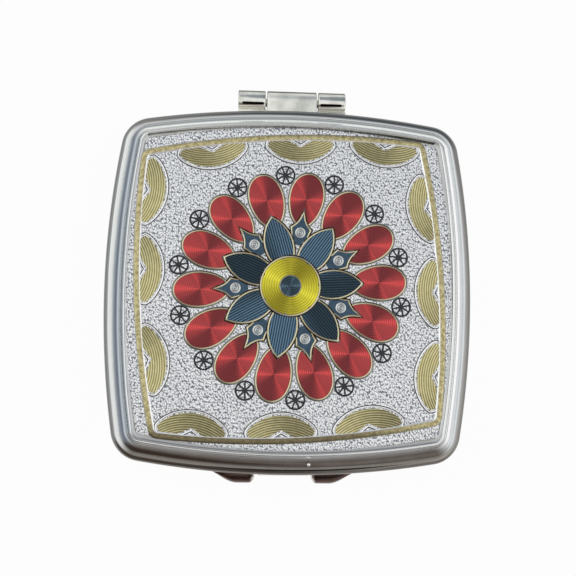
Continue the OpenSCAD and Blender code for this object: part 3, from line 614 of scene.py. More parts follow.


# Lacquers: bright and dark are mixed by a painted sheen in those with one, by mottling, a real tone, in
# the rest, and line lies in the groove floors
lacquers = {
    "red": {"bright": (0.82, 0.095, 0.095), "dark": (0.31, 0.05, 0.055), "line": (0.16, 0.015, 0.02),
        "lines": 0.45, "grooves": {"Pitch": 0.36, "Sharpness": 2.0}, "sheen": turnedSheen, "aim": {},
        "shader": {"Metallic": 0.9, "Roughness": 0.45, "Anisotropic": 0.85, "Coat_Weight": 0.2},
        "bump": 0.5, "depth": 0.03},
    "darkBlue": {"bright": (0.175, 0.31, 0.44), "dark": (0.066, 0.115, 0.145), "line": (0.012, 0.026, 0.044),
        "lines": 0.95, "grooves": {"Pitch": 0.42, "Sharpness": 0.7}, "sheen": ruledSheen, "aim": {},
        "shader": {"Metallic": 0.95, "Roughness": 0.55, "Anisotropic": 0.85, "Coat_Weight": 0.12},
        "bump": 0.6, "depth": 0.05},
    "boss": {"bright": (0.13, 0.22, 0.29), "dark": (0.035, 0.06, 0.08), "line": (0.008, 0.016, 0.03),
        "lines": 0.4, "grooves": {"Pitch": 0.4, "Sharpness": 1.5}, "sheen": turnedSheen, "aim": {"Turn": 0.2},
        "shader": {"Metallic": 0.95, "Roughness": 0.45, "Anisotropic": 0.85, "Coat_Weight": 0.15},
        "bump": 0.5, "depth": 0.04},
    "blue": {"bright": (0.06, 0.13, 0.2), "dark": (0.022, 0.045, 0.07), "line": (0.01, 0.02, 0.04),
        "lines": 0.2, "grooves": {"Pitch": 0.6, "Sharpness": 1.5}, "mottle": 1.0,
        "shader": {"Metallic": 0.9, "Roughness": 0.4, "Coat_Weight": 0.4},
        "bump": 0.2, "depth": 0.03},
    "yellow": {"bright": (0.93, 0.85, 0.06), "dark": (0.42, 0.36, 0.014), "line": (0.2, 0.17, 0.015),
        "lines": 0.55, "grooves": {"Pitch": 0.42, "Sharpness": 1.5}, "sheen": turnedSheen,
        "aim": {"Turn": 0.43, "Broad": 0.55},
        "shader": {"Metallic": 0.9, "Roughness": 0.4, "Anisotropic": 0.8, "Coat_Weight": 0.25},
        "bump": 0.6, "depth": 0.04},
    "gold": {"bright": (0.9, 0.82, 0.46), "dark": (0.5, 0.45, 0.22), "line": (0.14, 0.12, 0.05),
        "lines": 0.85, "grooves": {"Pitch": 0.4, "Sharpness": 1.0}, "mottle": 1.0,
        "shader": {"Metallic": 1.0, "Roughness": 0.33, "Anisotropic": 0.8, "Coat_Weight": 0.1},
        "bump": 0.8, "depth": 0.08},
}
lacquerCoat = {"Anisotropic_Rotation": 0.25, "Coat_Roughness": 0.12}
mottling = {"scale": 1.1, "detail": 3.0}


# Clear lacquer over turned or ruled foil: the grooves show through the colour, and their sheen is painted
# into it as well as reflected
def lacquerMaterial(name, look):
    tree = newMaterial(name, **lacquerCoat, **look["shader"])
    cut = tree.group(grooves, **look["grooves"])
    if "sheen" in look:
        share = tree.group(look["sheen"], **look["aim"])["Mask"]
    else:
        share = tree.math("MULTIPLY", tree.noise(**mottling)[0], look["mottle"])
    tone = tree.mix(share, look["dark"], look["bright"])
    tone = tree.mix(tree.math("MULTIPLY", cut["Mask"], look["lines"]), tone, look["line"])
    tangent = tree.add("Tangent", direction_type="UV_MAP", uv_map="UVMap").outputs[0]
    tree.shade(Base_Color=tone, Tangent=tangent)
    tree.bump(cut["Height"], look["bump"], look["depth"])
    return tree.material


# Painted shade darkens the border towards the front, between two places along Y
borderLook = {
    "dark": (0.3, 0.26, 0.13), "bright": (0.66, 0.58, 0.32), "slope": (0.98, 0.98, 1.0),
    "wornAndShaded": (0.1, 0.08, 0.05), "foot": (0.3, 0.29, 0.25), "shadeFrom": -23.5, "shadeTo": -25.5, "wearAndShade": 0.75,
    "bandShares": (0.17, 0.23), "footShares": (0.88, 0.93), "noise": (1.6, 4.0, 0.7), "darkBelow": 0.35,
    "brightFrom": 0.6, "rough": 0.32, "bump": 0.4, "depth": 0.04,
}


# The border's gold: two tones by noise, with painted shade that darkens it towards the front by Y, with a
# silver slope inside it and a duller grey foot outside by the share of the way across
def borderMaterial():
    look = borderLook
    tree = newMaterial("border gold", Metallic=1.0, Roughness=look["rough"])
    cloud = tree.noise(*look["noise"])[0]
    tone = tree.mix(tree.between(cloud, look["darkBelow"], look["brightFrom"]), look["dark"], look["bright"])
    wearAndShade = tree.between(tree.axis(tree.place(), 1), look["shadeFrom"], look["shadeTo"], 0.0, look["wearAndShade"])
    tone = tree.mix(wearAndShade, tone, look["wornAndShaded"])
    band, foot = [tree.ramp(tree.uv(1), [(look[edge][0], 0.0), (look[edge][1], 1.0)])
        for edge in ("bandShares", "footShares")]
    tone = tree.mix(foot, tree.mix(band, look["slope"], tone), look["foot"])
    tree.shade(Base_Color=tone)
    tree.bump(cloud, look["bump"], look["depth"])
    return tree.material


mouldings = {
    "wheel black": {"tone": (0.011, 0.013, 0.017), "grain": 3.0, "roughness": 0.5, "depth": 0.02},
    "liner plastic": {"tone": (0.035, 0.035, 0.038), "grain": 1.8, "roughness": 0.5, "depth": 0.05},
    "foam": {"tone": (0.5, 0.49, 0.45), "grain": 3.0, "roughness": 0.9, "depth": 0.1},
    "bumper rubber": {"tone": (0.5, 0.5, 0.48), "grain": 1.0, "roughness": 0.35, "depth": 0.01},
    "adhesive film": {"tone": (0.5, 0.5, 0.47), "grain": 0.5, "roughness": 0.4, "depth": 0.01},
}
pebbles = {"pale": 1.7, "share": 0.8, "bump": 0.25}


# Moulded or rubbery pieces: a pebbled grain, the distance to the nearest of scattered middles, that also
# pales the tone
def mouldedMaterial(name, look):
    tree = newMaterial(name, Roughness=look["roughness"])
    pebble = tree.add("TexVoronoi", {"Vector": tree.place(), "Scale": look["grain"]}).outputs["Distance"]
    pale = tuple(c * pebbles["pale"] for c in look["tone"])
    tree.shade(Base_Color=tree.mix(tree.math("MULTIPLY", pebble, pebbles["share"]), look["tone"], pale))
    tree.bump(pebble, pebbles["bump"], look["depth"])
    return tree.material


mirrorLook = {
    "tones": ((0.88, 0.91, 0.92), (0.92, 0.94, 0.945)), "clouds": 0.05,
    "rub": {"Scale": 0.08, "Low": 0.008, "High": 0.035},
}


# Mirror glass: two near tones in wide clouds, and almost no roughness
def mirrorMaterial():
    tree = newMaterial("mirror glass", Metallic=1.0)
    rub = tree.group(handling, **mirrorLook["rub"])
    tone = tree.mix(tree.noise(mirrorLook["clouds"])[0], *mirrorLook["tones"])
    tree.shade(Roughness=rub["Roughness"], Base_Color=tone)
    return tree.material


steelLook = {
    "tone": (0.62, 0.61, 0.6), "dark": 0.7, "rough": 0.3, "grain": 1.5, "stretch": (0.5, 6.0, 6.0),
    "bump": 0.2, "depth": 0.02,
}


# Drawn steel: noise stretched along X as faint brushing
def steelMaterial():
    look = steelLook
    tree = newMaterial("drawn steel", Metallic=1.0, Roughness=look["rough"])
    brush = tree.noise(look["grain"], 4.0, place=tree.scaled(tree.place(), look["stretch"]))[0]
    tree.shade(Base_Color=tree.mix(brush, look["tone"], tuple(c * look["dark"] for c in look["tone"])))
    tree.bump(brush, look["bump"], look["depth"])
    return tree.material


plating = {name: chromeMaterial(name + " plating", look) for name, look in platings.items()}
framePlating, foil, borderGold = frameMaterial(), foilMaterial(), borderMaterial()
ridgeFoil = {name: ridgeMaterial(name, stops) for name, stops in ridgeStops.items()}
lacquer = {name: lacquerMaterial(name + " lacquer", look) for name, look in lacquers.items()}
moulded = {name: mouldedMaterial(name, look) for name, look in mouldings.items()}
mirrorGlass, steel = mirrorMaterial(), steelMaterial()
print("stage: materials", len(bpy.data.materials))

# Lid frame, one section swept round the plan and closed over the plate under the plaque
lidSection = {
    "wall": 1.7, "bandTop": 1.2, "shoulderIn": 1.45, "shoulderTop": 2.6, "shoulderSwell": 0.588,
    "coveIn": 1.57, "coveEnd": 3.52, "coveTop": 5.4, "coveSag": 0.429, "lineDepth": 0.16,
    "beadIn": 3.64, "beadEnd": 4.14, "seat": 4.9, "ceiling": 4.0, "roofIn": 4.39, "roofLow": 1.52,
    "ease": 0.15, "crease": 0.035, "curveSteps": 15, "beadSteps": 13, "poleShares": (0.0, 0.4, 0.8),
}


# From the roof down inside the wall, up the band, the bowed shoulder and the cove, then over the bead,
# a half circle, to the seat
def makeLidFrame():
    s = lidSection
    half = (s["beadEnd"] - s["beadIn"]) / 2
    beadMiddle = np.array([s["beadIn"] + half, case["lidTall"] - half])
    shoulder, cove = (s["shoulderIn"], s["shoulderTop"]), (s["coveIn"], s["shoulderTop"])
    coveEnd = (s["coveEnd"], s["coveTop"])
    line = np.array([0, s["lineDepth"]])
    outer = np.concatenate([
        [[s["roofIn"], s["ceiling"]], [s["wall"], s["roofLow"]], [s["wall"], 0.0]],
        [[s["ease"], 0.0], [s["ease"] / 3, s["ease"] / 3], [0.0, s["ease"]]],
        bowedLine((0.0, s["bandTop"]), shoulder, s["shoulderSwell"], s["curveSteps"]),
        [shoulder - line, cove - line],
        bowedLine(cove, coveEnd, -s["coveSag"], s["curveSteps"]),
        [coveEnd - line, (s["beadIn"], s["coveTop"]) - line],
        beadMiddle + half * arrows(np.linspace(math.pi, 0, s["beadSteps"])),
        [[s["beadEnd"], s["seat"]]],
    ])
    rows, inset = sweptCase(s, outer, case["lidRim"])
    uv = gridUv(np.linspace(0, 1, rows.shape[1] + 1), inset[:, None] / frameDepth)
    makePiece("lidFrame", rows, gridFaces(rows), framePlating, "lid", ("lid_shell",), uv,
        sharp=50)


# Base shell: the same plan, from the middle of its underside to the middle of its floor
baseSection = {
    "wall": 1.6, "floor": 1.1, "edgeIn": 3.4, "edgeSwell": 0.95, "bandHeight": 1.2, "lineHeight": 0.12,
    "lineDepth": 0.16, "ease": 0.15, "crease": 0.035, "edgeSteps": 21, "poleShares": (0.0, 0.5, 0.85),
}


# A bowed edge from the underside up to a drawn line, the band above it, and down inside the wall
def makeBaseShell():
    s = baseSection
    top, band = case["baseTop"], case["baseTop"] - s["bandHeight"]
    foot = band - s["lineHeight"]
    outer = np.concatenate([
        bowedLine((s["edgeIn"], 0.0), (0.0, foot), s["edgeSwell"], s["edgeSteps"]),
        [[s["lineDepth"], foot], [s["lineDepth"], band], [0.0, band], [0.0, top - s["ease"]]],
        [[s["ease"] / 3, top - s["ease"] / 3], [s["ease"], top], [s["wall"], top], [s["wall"], s["floor"]]],
    ])
    rows = sweptCase(s, outer, 0.0)[0]
    shell = makePiece("baseShell", rows, gridFaces(rows), plating["plain"], "base",
        ("base_shell",), sharp=50)
    cutWindow(shell)


window = {"half": 4.52, "low": 1.48, "high": 4.72, "deep": 2.1, "out": 0.5}


# The button's window: a box taken out of the front wall
def cutWindow(shell):
    w = window
    widths = (case["catchX"] - w["half"], case["catchX"] + w["half"])
    depths = (-case["half"] - w["out"], -case["half"] + w["deep"])
    corners = np.array([[x, y, z] for z in (w["low"], w["high"]) for y in depths for x in widths])
    mesh = bpy.data.meshes.new("window")
    sides = [(0, 2, 3, 1), (4, 5, 7, 6), (0, 1, 5, 4), (2, 6, 7, 3), (0, 4, 6, 2), (1, 3, 7, 5)]
    mesh.from_pydata(corners * mm, [], sides)
    cutter = addObject("window", mesh)
    cut = shell.modifiers.new("window", "BOOLEAN")
    cut.operation, cut.object, cut.solver = "DIFFERENCE", cutter, "EXACT"
    bpy.context.view_layer.update()
    done = bpy.data.meshes.new_from_object(shell.evaluated_get(bpy.context.evaluated_depsgraph_get()))
    shell.modifiers.clear()
    shell.data = done
    bpy.data.objects.remove(cutter)


makeLidFrame()
makeBaseShell()
print("stage: case halves")

# Hinge: barrels with their plinths, bored for the pin
hinge = {
    "radius": 2.1, "half": 9.75, "middleHalf": 4.5, "gap": 0.3, "bore": 0.8, "ease": 0.22, "steps": 48,
    "reachIn": 1.3, "stripIn": 1.4, "stripOut": 0.06, "stripEase": 0.12, "flat": 0.16,
}


# A bar's stations from end to end, and how far its outline is drawn in at each: both ends are rounded by
# a quarter circle
def easedEnds(start, end, ease):
    lean = np.linspace(0, math.pi / 2, 5)
    step, inwards = ease * (1 - np.cos(lean)), ease * (1 - np.sin(lean))
    return np.concatenate([start + step, end - step[::-1]]), np.concatenate([inwards, inwards[::-1]])


# A bored barrel along X: the outline is carried from end to end and turned in through the bore, so that
# the surface closes on itself
def barrel(outline, start, end):
    ray = outline - case["hinge"]
    reach = np.linalg.norm(ray, axis=1)
    bore = case["hinge"] + hinge["bore"] * ray / reach[:, None]
    stations, inwards = easedEnds(start, end, hinge["ease"])
    shell = case["hinge"] + ray * (1 - inwards / reach.max())[:, None, None]
    rows = np.concatenate([shell, bore[None], bore[None]])
    return stationed(np.append(stations, [end, start]), rows), gridFaces(rows, wrapRows=True)


# Outline of a barrel, a circle, with a block that runs to the case wall between two heights
def barrelOutline(low, high):
    h = hinge
    wall = case["half"] - h["reachIn"]
    turn = np.linspace(-math.pi / 2, math.pi / 2, h["steps"])
    outer, inner = [case["hinge"] + h["radius"] * arrows(a) for a in (turn, turn + math.pi)]
    above, below = inner[inner[:, 1] > high], inner[inner[:, 1] < low]
    return np.concatenate([outer, above, [[wall, high], [wall, low]], below])


# Two outer barrels ride the base, and one between them the lid
def makeHinge():
    h = hinge
    axisLow, axisHigh = case["hinge"][1] - h["radius"], case["hinge"][1] + h["radius"]
    lower, upper = barrelOutline(axisLow, case["baseTop"]), barrelOutline(case["lidRim"], axisHigh)
    inner = h["middleHalf"] + h["gap"]
    points, faces = joined([barrel(lower, -h["half"], -inner), barrel(lower, inner, h["half"])])
    makePiece("outerBarrels", points, faces, plating["barrel"], "base", sharp=60)
    points, faces = barrel(upper, -h["middleHalf"], h["middleHalf"])
    makePiece("middleBarrel", points, faces, plating["cloudy"], "lid", sharp=60)


# A bar along X between two corners, with a rounded outline and rounded ends that close at a pole
def roundedBar(low, high, ease):
    outline = easedLine([low[1:], [high[1], low[2]], high[1:], [low[1], high[2]]], ease, 5)
    middle, size = (low[1:] + high[1:]) / 2, (high[1:] - low[1:]) / 2
    stations, inwards = easedEnds(low[0], high[0], ease)
    stations, inwards = [np.concatenate([v[:1], v, v[-1:]]) for v in (stations, inwards)]
    scale = 1 - inwards[:, None] / size
    scale[0] = scale[-1] = 0
    rows = middle + (outline - middle) * scale[:, None, :]
    return stationed(stations, rows), gridFaces(rows)


# The lid's strip between its back wall and the barrels, a rounded bar
def makeHingeStrip():
    h = hinge
    low = np.array([-h["half"], case["half"] - h["stripIn"], case["lidRim"]])
    high = np.array([h["half"], case["half"] + h["stripOut"], case["hinge"][1] + h["radius"] - h["flat"]])
    points, faces = roundedBar(low, high, h["stripEase"])
    makePiece("hingeStrip", points, faces, plating["cloudy"], "lid")


makeHinge()
makeHingeStrip()
print("stage: hinge")

# Lugs: long swells on the front wall that end in a rounded nose beside the button
lug = {
    "inner": 5.0, "width": 9.2, "nose": 3.0, "reach": 1.7, "round": 1.1, "noseShare": 0.35, "sink": 0.25,
    "low": 1.12, "top": 5.3, "bury": 1.2, "steps": 56, "spread": 1.2, "rows": 21, "bluntness": 0.55,
}


# The front line follows the case's edge and swells to the lug's full reach; each cross-section is a
# rounded bow between two heights, closed behind inside the wall
def makeLugs():
    g = lug
    away = g["width"] * np.linspace(0, 1, g["steps"]) ** g["spread"]
    x = g["inner"] + away
    rounding = np.sqrt(1 - (1 - np.clip(away / g["round"], 0, 1)) ** 2)
    slope = np.clip((away - g["nose"]) / (g["width"] - g["nose"]), 0, 1)
    fall = (1 + np.cos(math.pi * slope)) / 2
    edge = np.sqrt(case["sideRadius"] ** 2 - x ** 2) - case["back"]
    swell = (case["half"] + g["reach"] - edge) * fall
    swell = swell * (g["noseShare"] + (1 - g["noseShare"]) * rounding) - g["sink"] * (1 - fall)
    v = np.linspace(-math.pi / 2, math.pi / 2, g["rows"])
    middle, tall = (g["low"] + g["top"]) / 2, (g["top"] - g["low"]) / 2
    front = -(edge + swell * np.cos(v)[:, None] ** g["bluntness"])
    front[0] = front[-1] = g["bury"] - edge
    front = np.concatenate([front, front[-1:]])
    height = np.append(middle + tall * np.sin(v), middle)
    rows = stacked(x, front, height[:, None])
    cap = np.broadcast_to(rows.mean(0), rows.shape)
    rows = np.concatenate([cap[:, :1], rows, cap[:, -1:]], 1)
    faces = gridFaces(rows, wrapRows=True, wrapCols=False)
    sides = [rows * [side, 1, 1] + [case["catchX"], 0, 0] for side in (-1, 1)]
    points, faces = joined([(side, faces) for side in sides])
    makePiece("lugs", points, faces, plating["brownReflection"], "base", sharp=70)


pip = {"place": (3.75, -30.5, 8.62), "radius": 0.38, "rings": 12, "steps": 24}


# A small round pip in the plating of the lid's front: a ball, its rings at even angles from pole to pole
def makePip():
    lean = np.linspace(-math.pi / 2, math.pi / 2, pip["rings"])[:, None]
    ball = lifted(np.cos(lean)[..., None] * arrows(wholeTurn(pip["steps"])), np.sin(lean))
    points = ball * pip["radius"] + pip["place"]
    makePiece("frontPip", points, gridFaces(ball), plating["plain"], "lid")


makeLugs()
makePip()
print("stage: lugs")

# Plaque: a hammered sheet with its ornament raised on it, drawn about the rosette's centre
art = {
    "count": 14, "ring": 19.6, "wheel": 1.75, "spokes": 8, "line": 0.34, "hub": 0.5,
    "redMid": 15.4, "redLength": 9.2, "redWidth": 5.6, "egg": 0.13,
    "blueMid": 7.4, "blueLength": 9.78, "blueWidth": 4.6,
    "pointTip": 12.85, "pointWide": 10.2, "pointWidth": 3.1, "pointRoot": 7.3, "rootShare": 0.85,
    "tipSag": 0.3, "rootSag": 0.2, "pearlMid": 9.5, "pearl": 0.97, "disc": 4.98, "boss": 1.75,
    "borderIn": 5.8, "borderWidth": 0.68, "borderRadius": 1.5,
    "eggSteps": 96, "bossSteps": 64, "borderSideSteps": 60, "borderCornerSteps": 14,
}

# Each motif's field: the middle that it is turned about, how far it is raised and domed, and its rows
fields = {
    "red": {"middle": art["redMid"] + 0.1, "lift": 0.05, "dome": 0.05, "rows": 12},
    "point": {"middle": art["pearlMid"] + 1.0, "lift": 0.10, "dome": 0.02, "rows": 12},
    "leaf": {"middle": art["blueMid"], "lift": 0.14, "dome": 0.06, "rows": 12},
    "disc": {"middle": 0.0, "lift": 0.18, "dome": 0.05, "rows": 16},
    "boss": {"middle": 0.0, "lift": 0.25, "dome": 0.05, "rows": 12},
}

# Sections of the ridges: offsets across and heights above the field, with one foot for all. What is
# covered by another motif is sunk out of sight
ridge = {
    "offset": (0.0, 0.05, 0.13, 0.2, 0.25, 0.31, 0.38, 0.44, 0.5),
    "height": (0.02, 0.10, 0.13, 0.10, 0.03, 0.0, 0.03, 0.05, 0.0),
    "foot": -0.06, "sunk": -0.04, "below": 0.02, "leafCover": 0.34, "discCover": 0.3,
}
bossRidge = {"offset": (-0.05, 0.0, 0.06, 0.12, 0.17), "height": (0.03, 0.07, 0.08, 0.06, 0.0), "below": 0.03}


# Moves points from the ornament's own frame to the case: turned, and lifted to the plaque's face
def ontoPlaque(points):
    return spun(points, case["artTurn"]) + [0, 0, case["face"]]


# Outlines of the motifs, as closed lines run anticlockwise. An egg: an ellipse whose width grows with the
# cosine of the way round
def eggLine(steps=72):
    way = arrows(wholeTurn(steps))
    across = art["redWidth"] / 2 * way[:, 1] * (1 + art["egg"] * way[:, 0])
    return np.stack([art["redMid"] + art["redLength"] / 2 * way[:, 0], across], -1)


# A leaf: two arcs of one radius that meet in points
def leafLine(steps=30):
    half, wide = art["blueLength"] / 2, art["blueWidth"] / 2
    radius = (half ** 2 + wide ** 2) / (2 * wide)
    swing = math.asin(half / radius)
    a = np.linspace(-swing, swing, steps, endpoint=False)
    upper = np.stack([-radius * np.sin(a), radius * np.cos(a) - radius + wide], -1)
    return np.concatenate([upper, -upper]) + [art["blueMid"], 0]


# A kite: two bowed lines from its tip by its side to its root, and the same mirrored
def kiteLine(steps=10):
    wide = art["pointWidth"] / 2
    side, root = (art["pointWide"], wide), (art["pointRoot"], wide * art["rootShare"])
    upper = np.concatenate([bowedLine((art["pointTip"], 0.0), side, art["tipSag"], steps)[:-1],
        bowedLine(side, root, art["rootSag"], steps)])
    return np.concatenate([upper, (upper[::-1] * [1, -1])[:-1]])


# A circle of even steps
def circleLine(radius, steps=96):
    return radius * arrows(wholeTurn(steps))


# Points along a closed line at even steps
def evenLine(line, steps):
    closed = np.concatenate([line, line[:1]])
    reach = np.concatenate([[0], np.cumsum(np.linalg.norm(np.diff(closed, axis=0), axis=1))])
    at = np.linspace(0, reach[-1], steps, endpoint=False)
    return np.stack([np.interp(at, reach, closed[:, 0]), np.interp(at, reach, closed[:, 1])], -1)


# Outward steps along a closed anticlockwise line, longer at a corner so that an offset keeps its width,
# up to a limit on a sharp one
def outwards(line):
    sharpest = 0.45
    ahead = np.roll(line, -1, 0) - line
    ahead = ahead / np.linalg.norm(ahead, axis=1)[:, None]
    side = np.stack([ahead[:, 1], -ahead[:, 0]], -1)
    both = side + np.roll(side, 1, 0)
    both = both / np.linalg.norm(both, axis=1)[:, None]
    return both / np.maximum((both * side).sum(1), sharpest)[:, None]


# The same line moved outwards by a distance
def grownLine(line, by):
    return line + outwards(line) * by


# Which points lie inside a closed line: those with an odd count of its edges to their right
def insideLine(points, line):
    x, y = points[:, :1], points[:, 1:2]
    nextLine = np.roll(line, -1, 0)
    lowX, lowY, highX, highY = line[:, 0], line[:, 1], nextLine[:, 0], nextLine[:, 1]
    rise = np.where(highY == lowY, 1, highY - lowY)
    crossed = ((highY > y) != (lowY > y)) & (x < (highX - lowX) * (y - lowY) / rise + lowX)
    return crossed.sum(1) % 2 == 1


# Points lowered out of sight where hidden
def sunkWhere(hidden, points):
    return lifted(points[:, :2], np.where(hidden, np.minimum(points[:, 2], ridge["sunk"]), points[:, 2]))


# A ridge along a closed line: its section of offsets and heights is carried round, and closed below. The
# UV runs round the line, then across the section
def ridgeAlong(line, lift, section=ridge):
    offset, height = np.array(section["offset"]), np.array(section["height"])
    spread = np.concatenate([offset, offset[-1:], offset[:1]])
    tall = np.concatenate([height + lift, [ridge["foot"]] * 2])
    points = lifted(line + spread[:, None, None] * outwards(line), tall[:, None])
    across = (offset - offset[0]) / (offset[-1] - offset[0])
    uv = gridUv(np.linspace(0, 1, len(line) + 1), np.append(across, [1.0, 0.0, 0.0])[:, None])
    return points, gridFaces(points, wrapRows=True), uv


# A domed field inside a closed line, on rays from a middle point, higher by the dome less the square of
# the share; UV holds the compass angle in turns and the distance from the middle in millimetres
def turnedField(line, field):
    middle = np.array([field["middle"], 0.0])
    share = np.concatenate([np.linspace(0, 1, field["rows"]), [1.0, 0.0]])
    ray = line - middle
    crown = field["lift"] + field["dome"] * (1 - share ** 2)
    crown[-2:] = ridge["foot"]
    points = lifted(middle + share[:, None, None] * ray, crown[:, None])
    angle = np.unwrap(np.arctan2(ray[:, 1], ray[:, 0]))
    angle = np.append(angle, angle[0] + 2 * math.pi) / (2 * math.pi)
    reach = np.linalg.norm(ray, axis=1)
    uv = gridUv(angle, share[:, None] * np.append(reach, reach[0]))
    return points, gridFaces(points), uv


# An ornament: copies of a motif at several angles, joined. The compass angle in the UV turns too where
# that is asked, and whatever lies under one of the covering lines is sunk
def makeOrnament(name, motif, angles, material, replaces=(), turnsUv=False, covers=(), sharp=40):
    points, faces, uv = motif
    every, allFaces = joined([(spun(points, a), faces) for a in angles])
    for cover in covers:
        every = sunkWhere(insideLine(every, cover), every)
    if uv is not None:
        shift = np.array([[(a + case["artTurn"]) / (2 * math.pi) if turnsUv else 0, 0] for a in angles])
        uv = (uv + shift[:, None, None]).reshape(-1, 4, 2)
    makePiece(name, ontoPlaque(every), allFaces, material, "lid", replaces, uv, sharp)


redAngles = wholeTurn(art["count"])
blueAngles, pointAngles = redAngles[::2], redAngles[1::2]
leaf, kite, discRim = leafLine(), kiteLine(), circleLine(art["disc"])
leafCovers, kiteCovers = [[spun(grownLine(line, ridge["leafCover"]), a) for a in angles]
    for line, angles in ((leaf, blueAngles), (kite, pointAngles))]


# A ridge whose section starts a little below its field's lift
def outlineOf(line, field):
    return ridgeAlong(line, field["lift"] - ridge["below"])


# Red eggs lie lowest, then the blue points, then the blue leaves, each with its raised outline. The
# leaves' UV is in millimetres along the leaf, then across it
def makePetals():
    gold = ridgeFoil["gold outline"]
    egg = evenLine(eggLine(), art["eggSteps"])
    red, point, blue = fields["red"], fields["point"], fields["leaf"]
    motif = turnedField(egg, red)
    makeOrnament("redPetals", motif, redAngles, lacquer["red"], ("red_petals",), True)
    makeOrnament("redOutlines", outlineOf(egg, red), redAngles, ridgeFoil["red petal outline"],
        covers=leafCovers + kiteCovers)
    motif = turnedField(kite, point)
    makeOrnament("bluePoints", motif, pointAngles, lacquer["blue"], ("blue_points",), True)
    makeOrnament("pointOutlines", outlineOf(kite, point), pointAngles, gold, covers=leafCovers)
    points, faces = turnedField(leaf, blue)[:2]
    motif = points, faces, points.reshape(-1, 3)[faces][..., :2]
    makeOrnament("bluePetals", motif, blueAngles, lacquer["darkBlue"], ("blue_petals",))
    makeOrnament("petalOutlines", outlineOf(leaf, blue), blueAngles, gold,
        covers=[grownLine(discRim, ridge["discCover"])])


# The yellow disc and the blue boss on it: two domed circles with their outlines
def makeDisc():
    disc, boss = fields["disc"], fields["boss"]
    motif = turnedField(discRim, disc)
    makeOrnament("yellowDisc", motif, [0.0], lacquer["yellow"], ("yellow_disc",), True)
    makeOrnament("discOutline", outlineOf(discRim, disc), [0.0], ridgeFoil["gold outline"])
    hub = circleLine(art["boss"], art["bossSteps"])
    motif = turnedField(hub, boss)
    makeOrnament("blueBoss", motif, [0.0], lacquer["boss"], ("blue_boss",), True)
    outline = ridgeAlong(hub, boss["lift"] - bossRidge["below"], bossRidge)
    makeOrnament("bossOutline", outline, [0.0], ridgeFoil["boss ring"])


pearl = {
    "radiusShares": (0.0, 0.12, 0.2, 0.3, 0.4, 0.5, 0.62, 0.74, 0.86, 0.95, 1.0, 1.0, 0.0),
    "height": (0.12, 0.1, 0.04, 0.04, 0.1, 0.1, 0.03, 0.03, 0.1, 0.1, 0.0), "lift": 0.13, "steps": 32,
}


# Small silver targets: a section of rings turned about each point's middle, closed below at the foot
def makePearls():
    radius = np.array(pearl["radiusShares"])
    height = np.append(np.array(pearl["height"]) + pearl["lift"], [ridge["foot"]] * 2)
    flat = [art["pearlMid"], 0] + (radius * art["pearl"])[:, None, None] * arrows(wholeTurn(pearl["steps"]))
    uv = gridUv(np.linspace(0, 1, pearl["steps"] + 1), radius[:, None])
    motif = lifted(flat, height[:, None]), gridFaces(flat), uv
    makeOrnament("pearlRings", motif, pointAngles, ridgeFoil["pearl silver"], ("pearl_rings",),
        sharp=60)


# Sections of the wheels in shares of their half width and of their height, and the spokes' half widths at
# the wheel's middle, at the hub and at the rim
wheel = {
    "tall": 0.045, "rimSteps": 48, "rimShares": ((-1, 0), (-0.6, 1), (0.6, 1), (1, 0), (1, -1), (-1, -1)),
    "spokeSteps": 6, "spokeShares": ((-1, 0), (-0.7, 1), (0.7, 1), (1, 0), (1, -1), (-1, -1)),
    "spokeHalves": (0.02, 0.17, 0.12), "hubSteps": 24, "hubRiseShares": (0.2, 1.0, 1.2),
}


# Wheels: a thin raised ring, spokes that widen towards the hub, and a low cone over the hub
def makeWheels():
    w, half = wheel, art["line"] / 2
    rim = np.array(w["rimShares"]) * [half, w["tall"]] + [art["wheel"] - half, 0]
    ring = lifted(rim[:, :1, None] * arrows(wholeTurn(w["rimSteps"])), rim[:, 1:])
    section, steps = np.array(w["spokeShares"]), w["spokeSteps"]
    along = np.linspace(0, art["wheel"] - half, steps)
    wide = np.interp(along, [0, art["hub"], art["wheel"]], w["spokeHalves"])
    spoke = stacked(along, section[:, :1] * wide, section[:, 1:] * w["tall"])
    cap = np.array([[0, 1, 2, 3], [0, 3, 4, 5]]) * steps
    spokeFaces = gridFaces(spoke, wrapRows=True, wrapCols=False)
    spokeFaces = np.concatenate([spokeFaces, cap, cap + steps - 1])
    spin = (np.arange(art["spokes"]) + 0.5) * 2 * math.pi / art["spokes"]
    rise = np.array(w["hubRiseShares"]) * w["tall"]
    inward = np.linspace(1, 0, len(rise))[:, None, None]
    hub = lifted(inward * circleLine(art["hub"], w["hubSteps"]), rise[:, None])
    spokes = [(spun(spoke, s), spokeFaces) for s in spin]
    points, faces = joined([(ring, gridFaces(ring, wrapRows=True)), *spokes, (hub, gridFaces(hub))])
    motif = points + [art["ring"], 0, 0], faces, None
    makeOrnament("wheels", motif, redAngles + math.pi / 2, moulded["wheel black"], ("wheels",),
        sharp=30)


# Crescents inside the border, three to a side: places along each side, and shares of the half length and
# of the depth that shape the back
crescent = {
    "length": 11.45, "depth": 3.7, "in": 0.2, "tipShare": 1.4, "centre": 8.2, "lobeShare": 0.86,
    "dipShare": 0.38, "notchShare": 0.33, "endShare": 0.24, "grown": 0.22, "clear": 0.05,
    "places": ((-12.7, 2.9, 17.9), (-11.8, 3.9, 17.8), (-12.4, 2.7, 17.9), (-13.0, 2.1, 16.7)),
    "cols": 81, "rows": 11, "lift": 0.05, "dome": 0.05,
    "offset": (0.0, 0.03, 0.07, 0.14, 0.21, 0.25, 0.3, 0.36, 0.42),
    "height": (0.02, 0.09, 0.12, 0.125, 0.12, 0.06, 0.02, 0.02, 0.02),
}
crescentHalf, crescentEnd = crescent["length"] / 2, crescent["depth"] * crescent["endShare"]


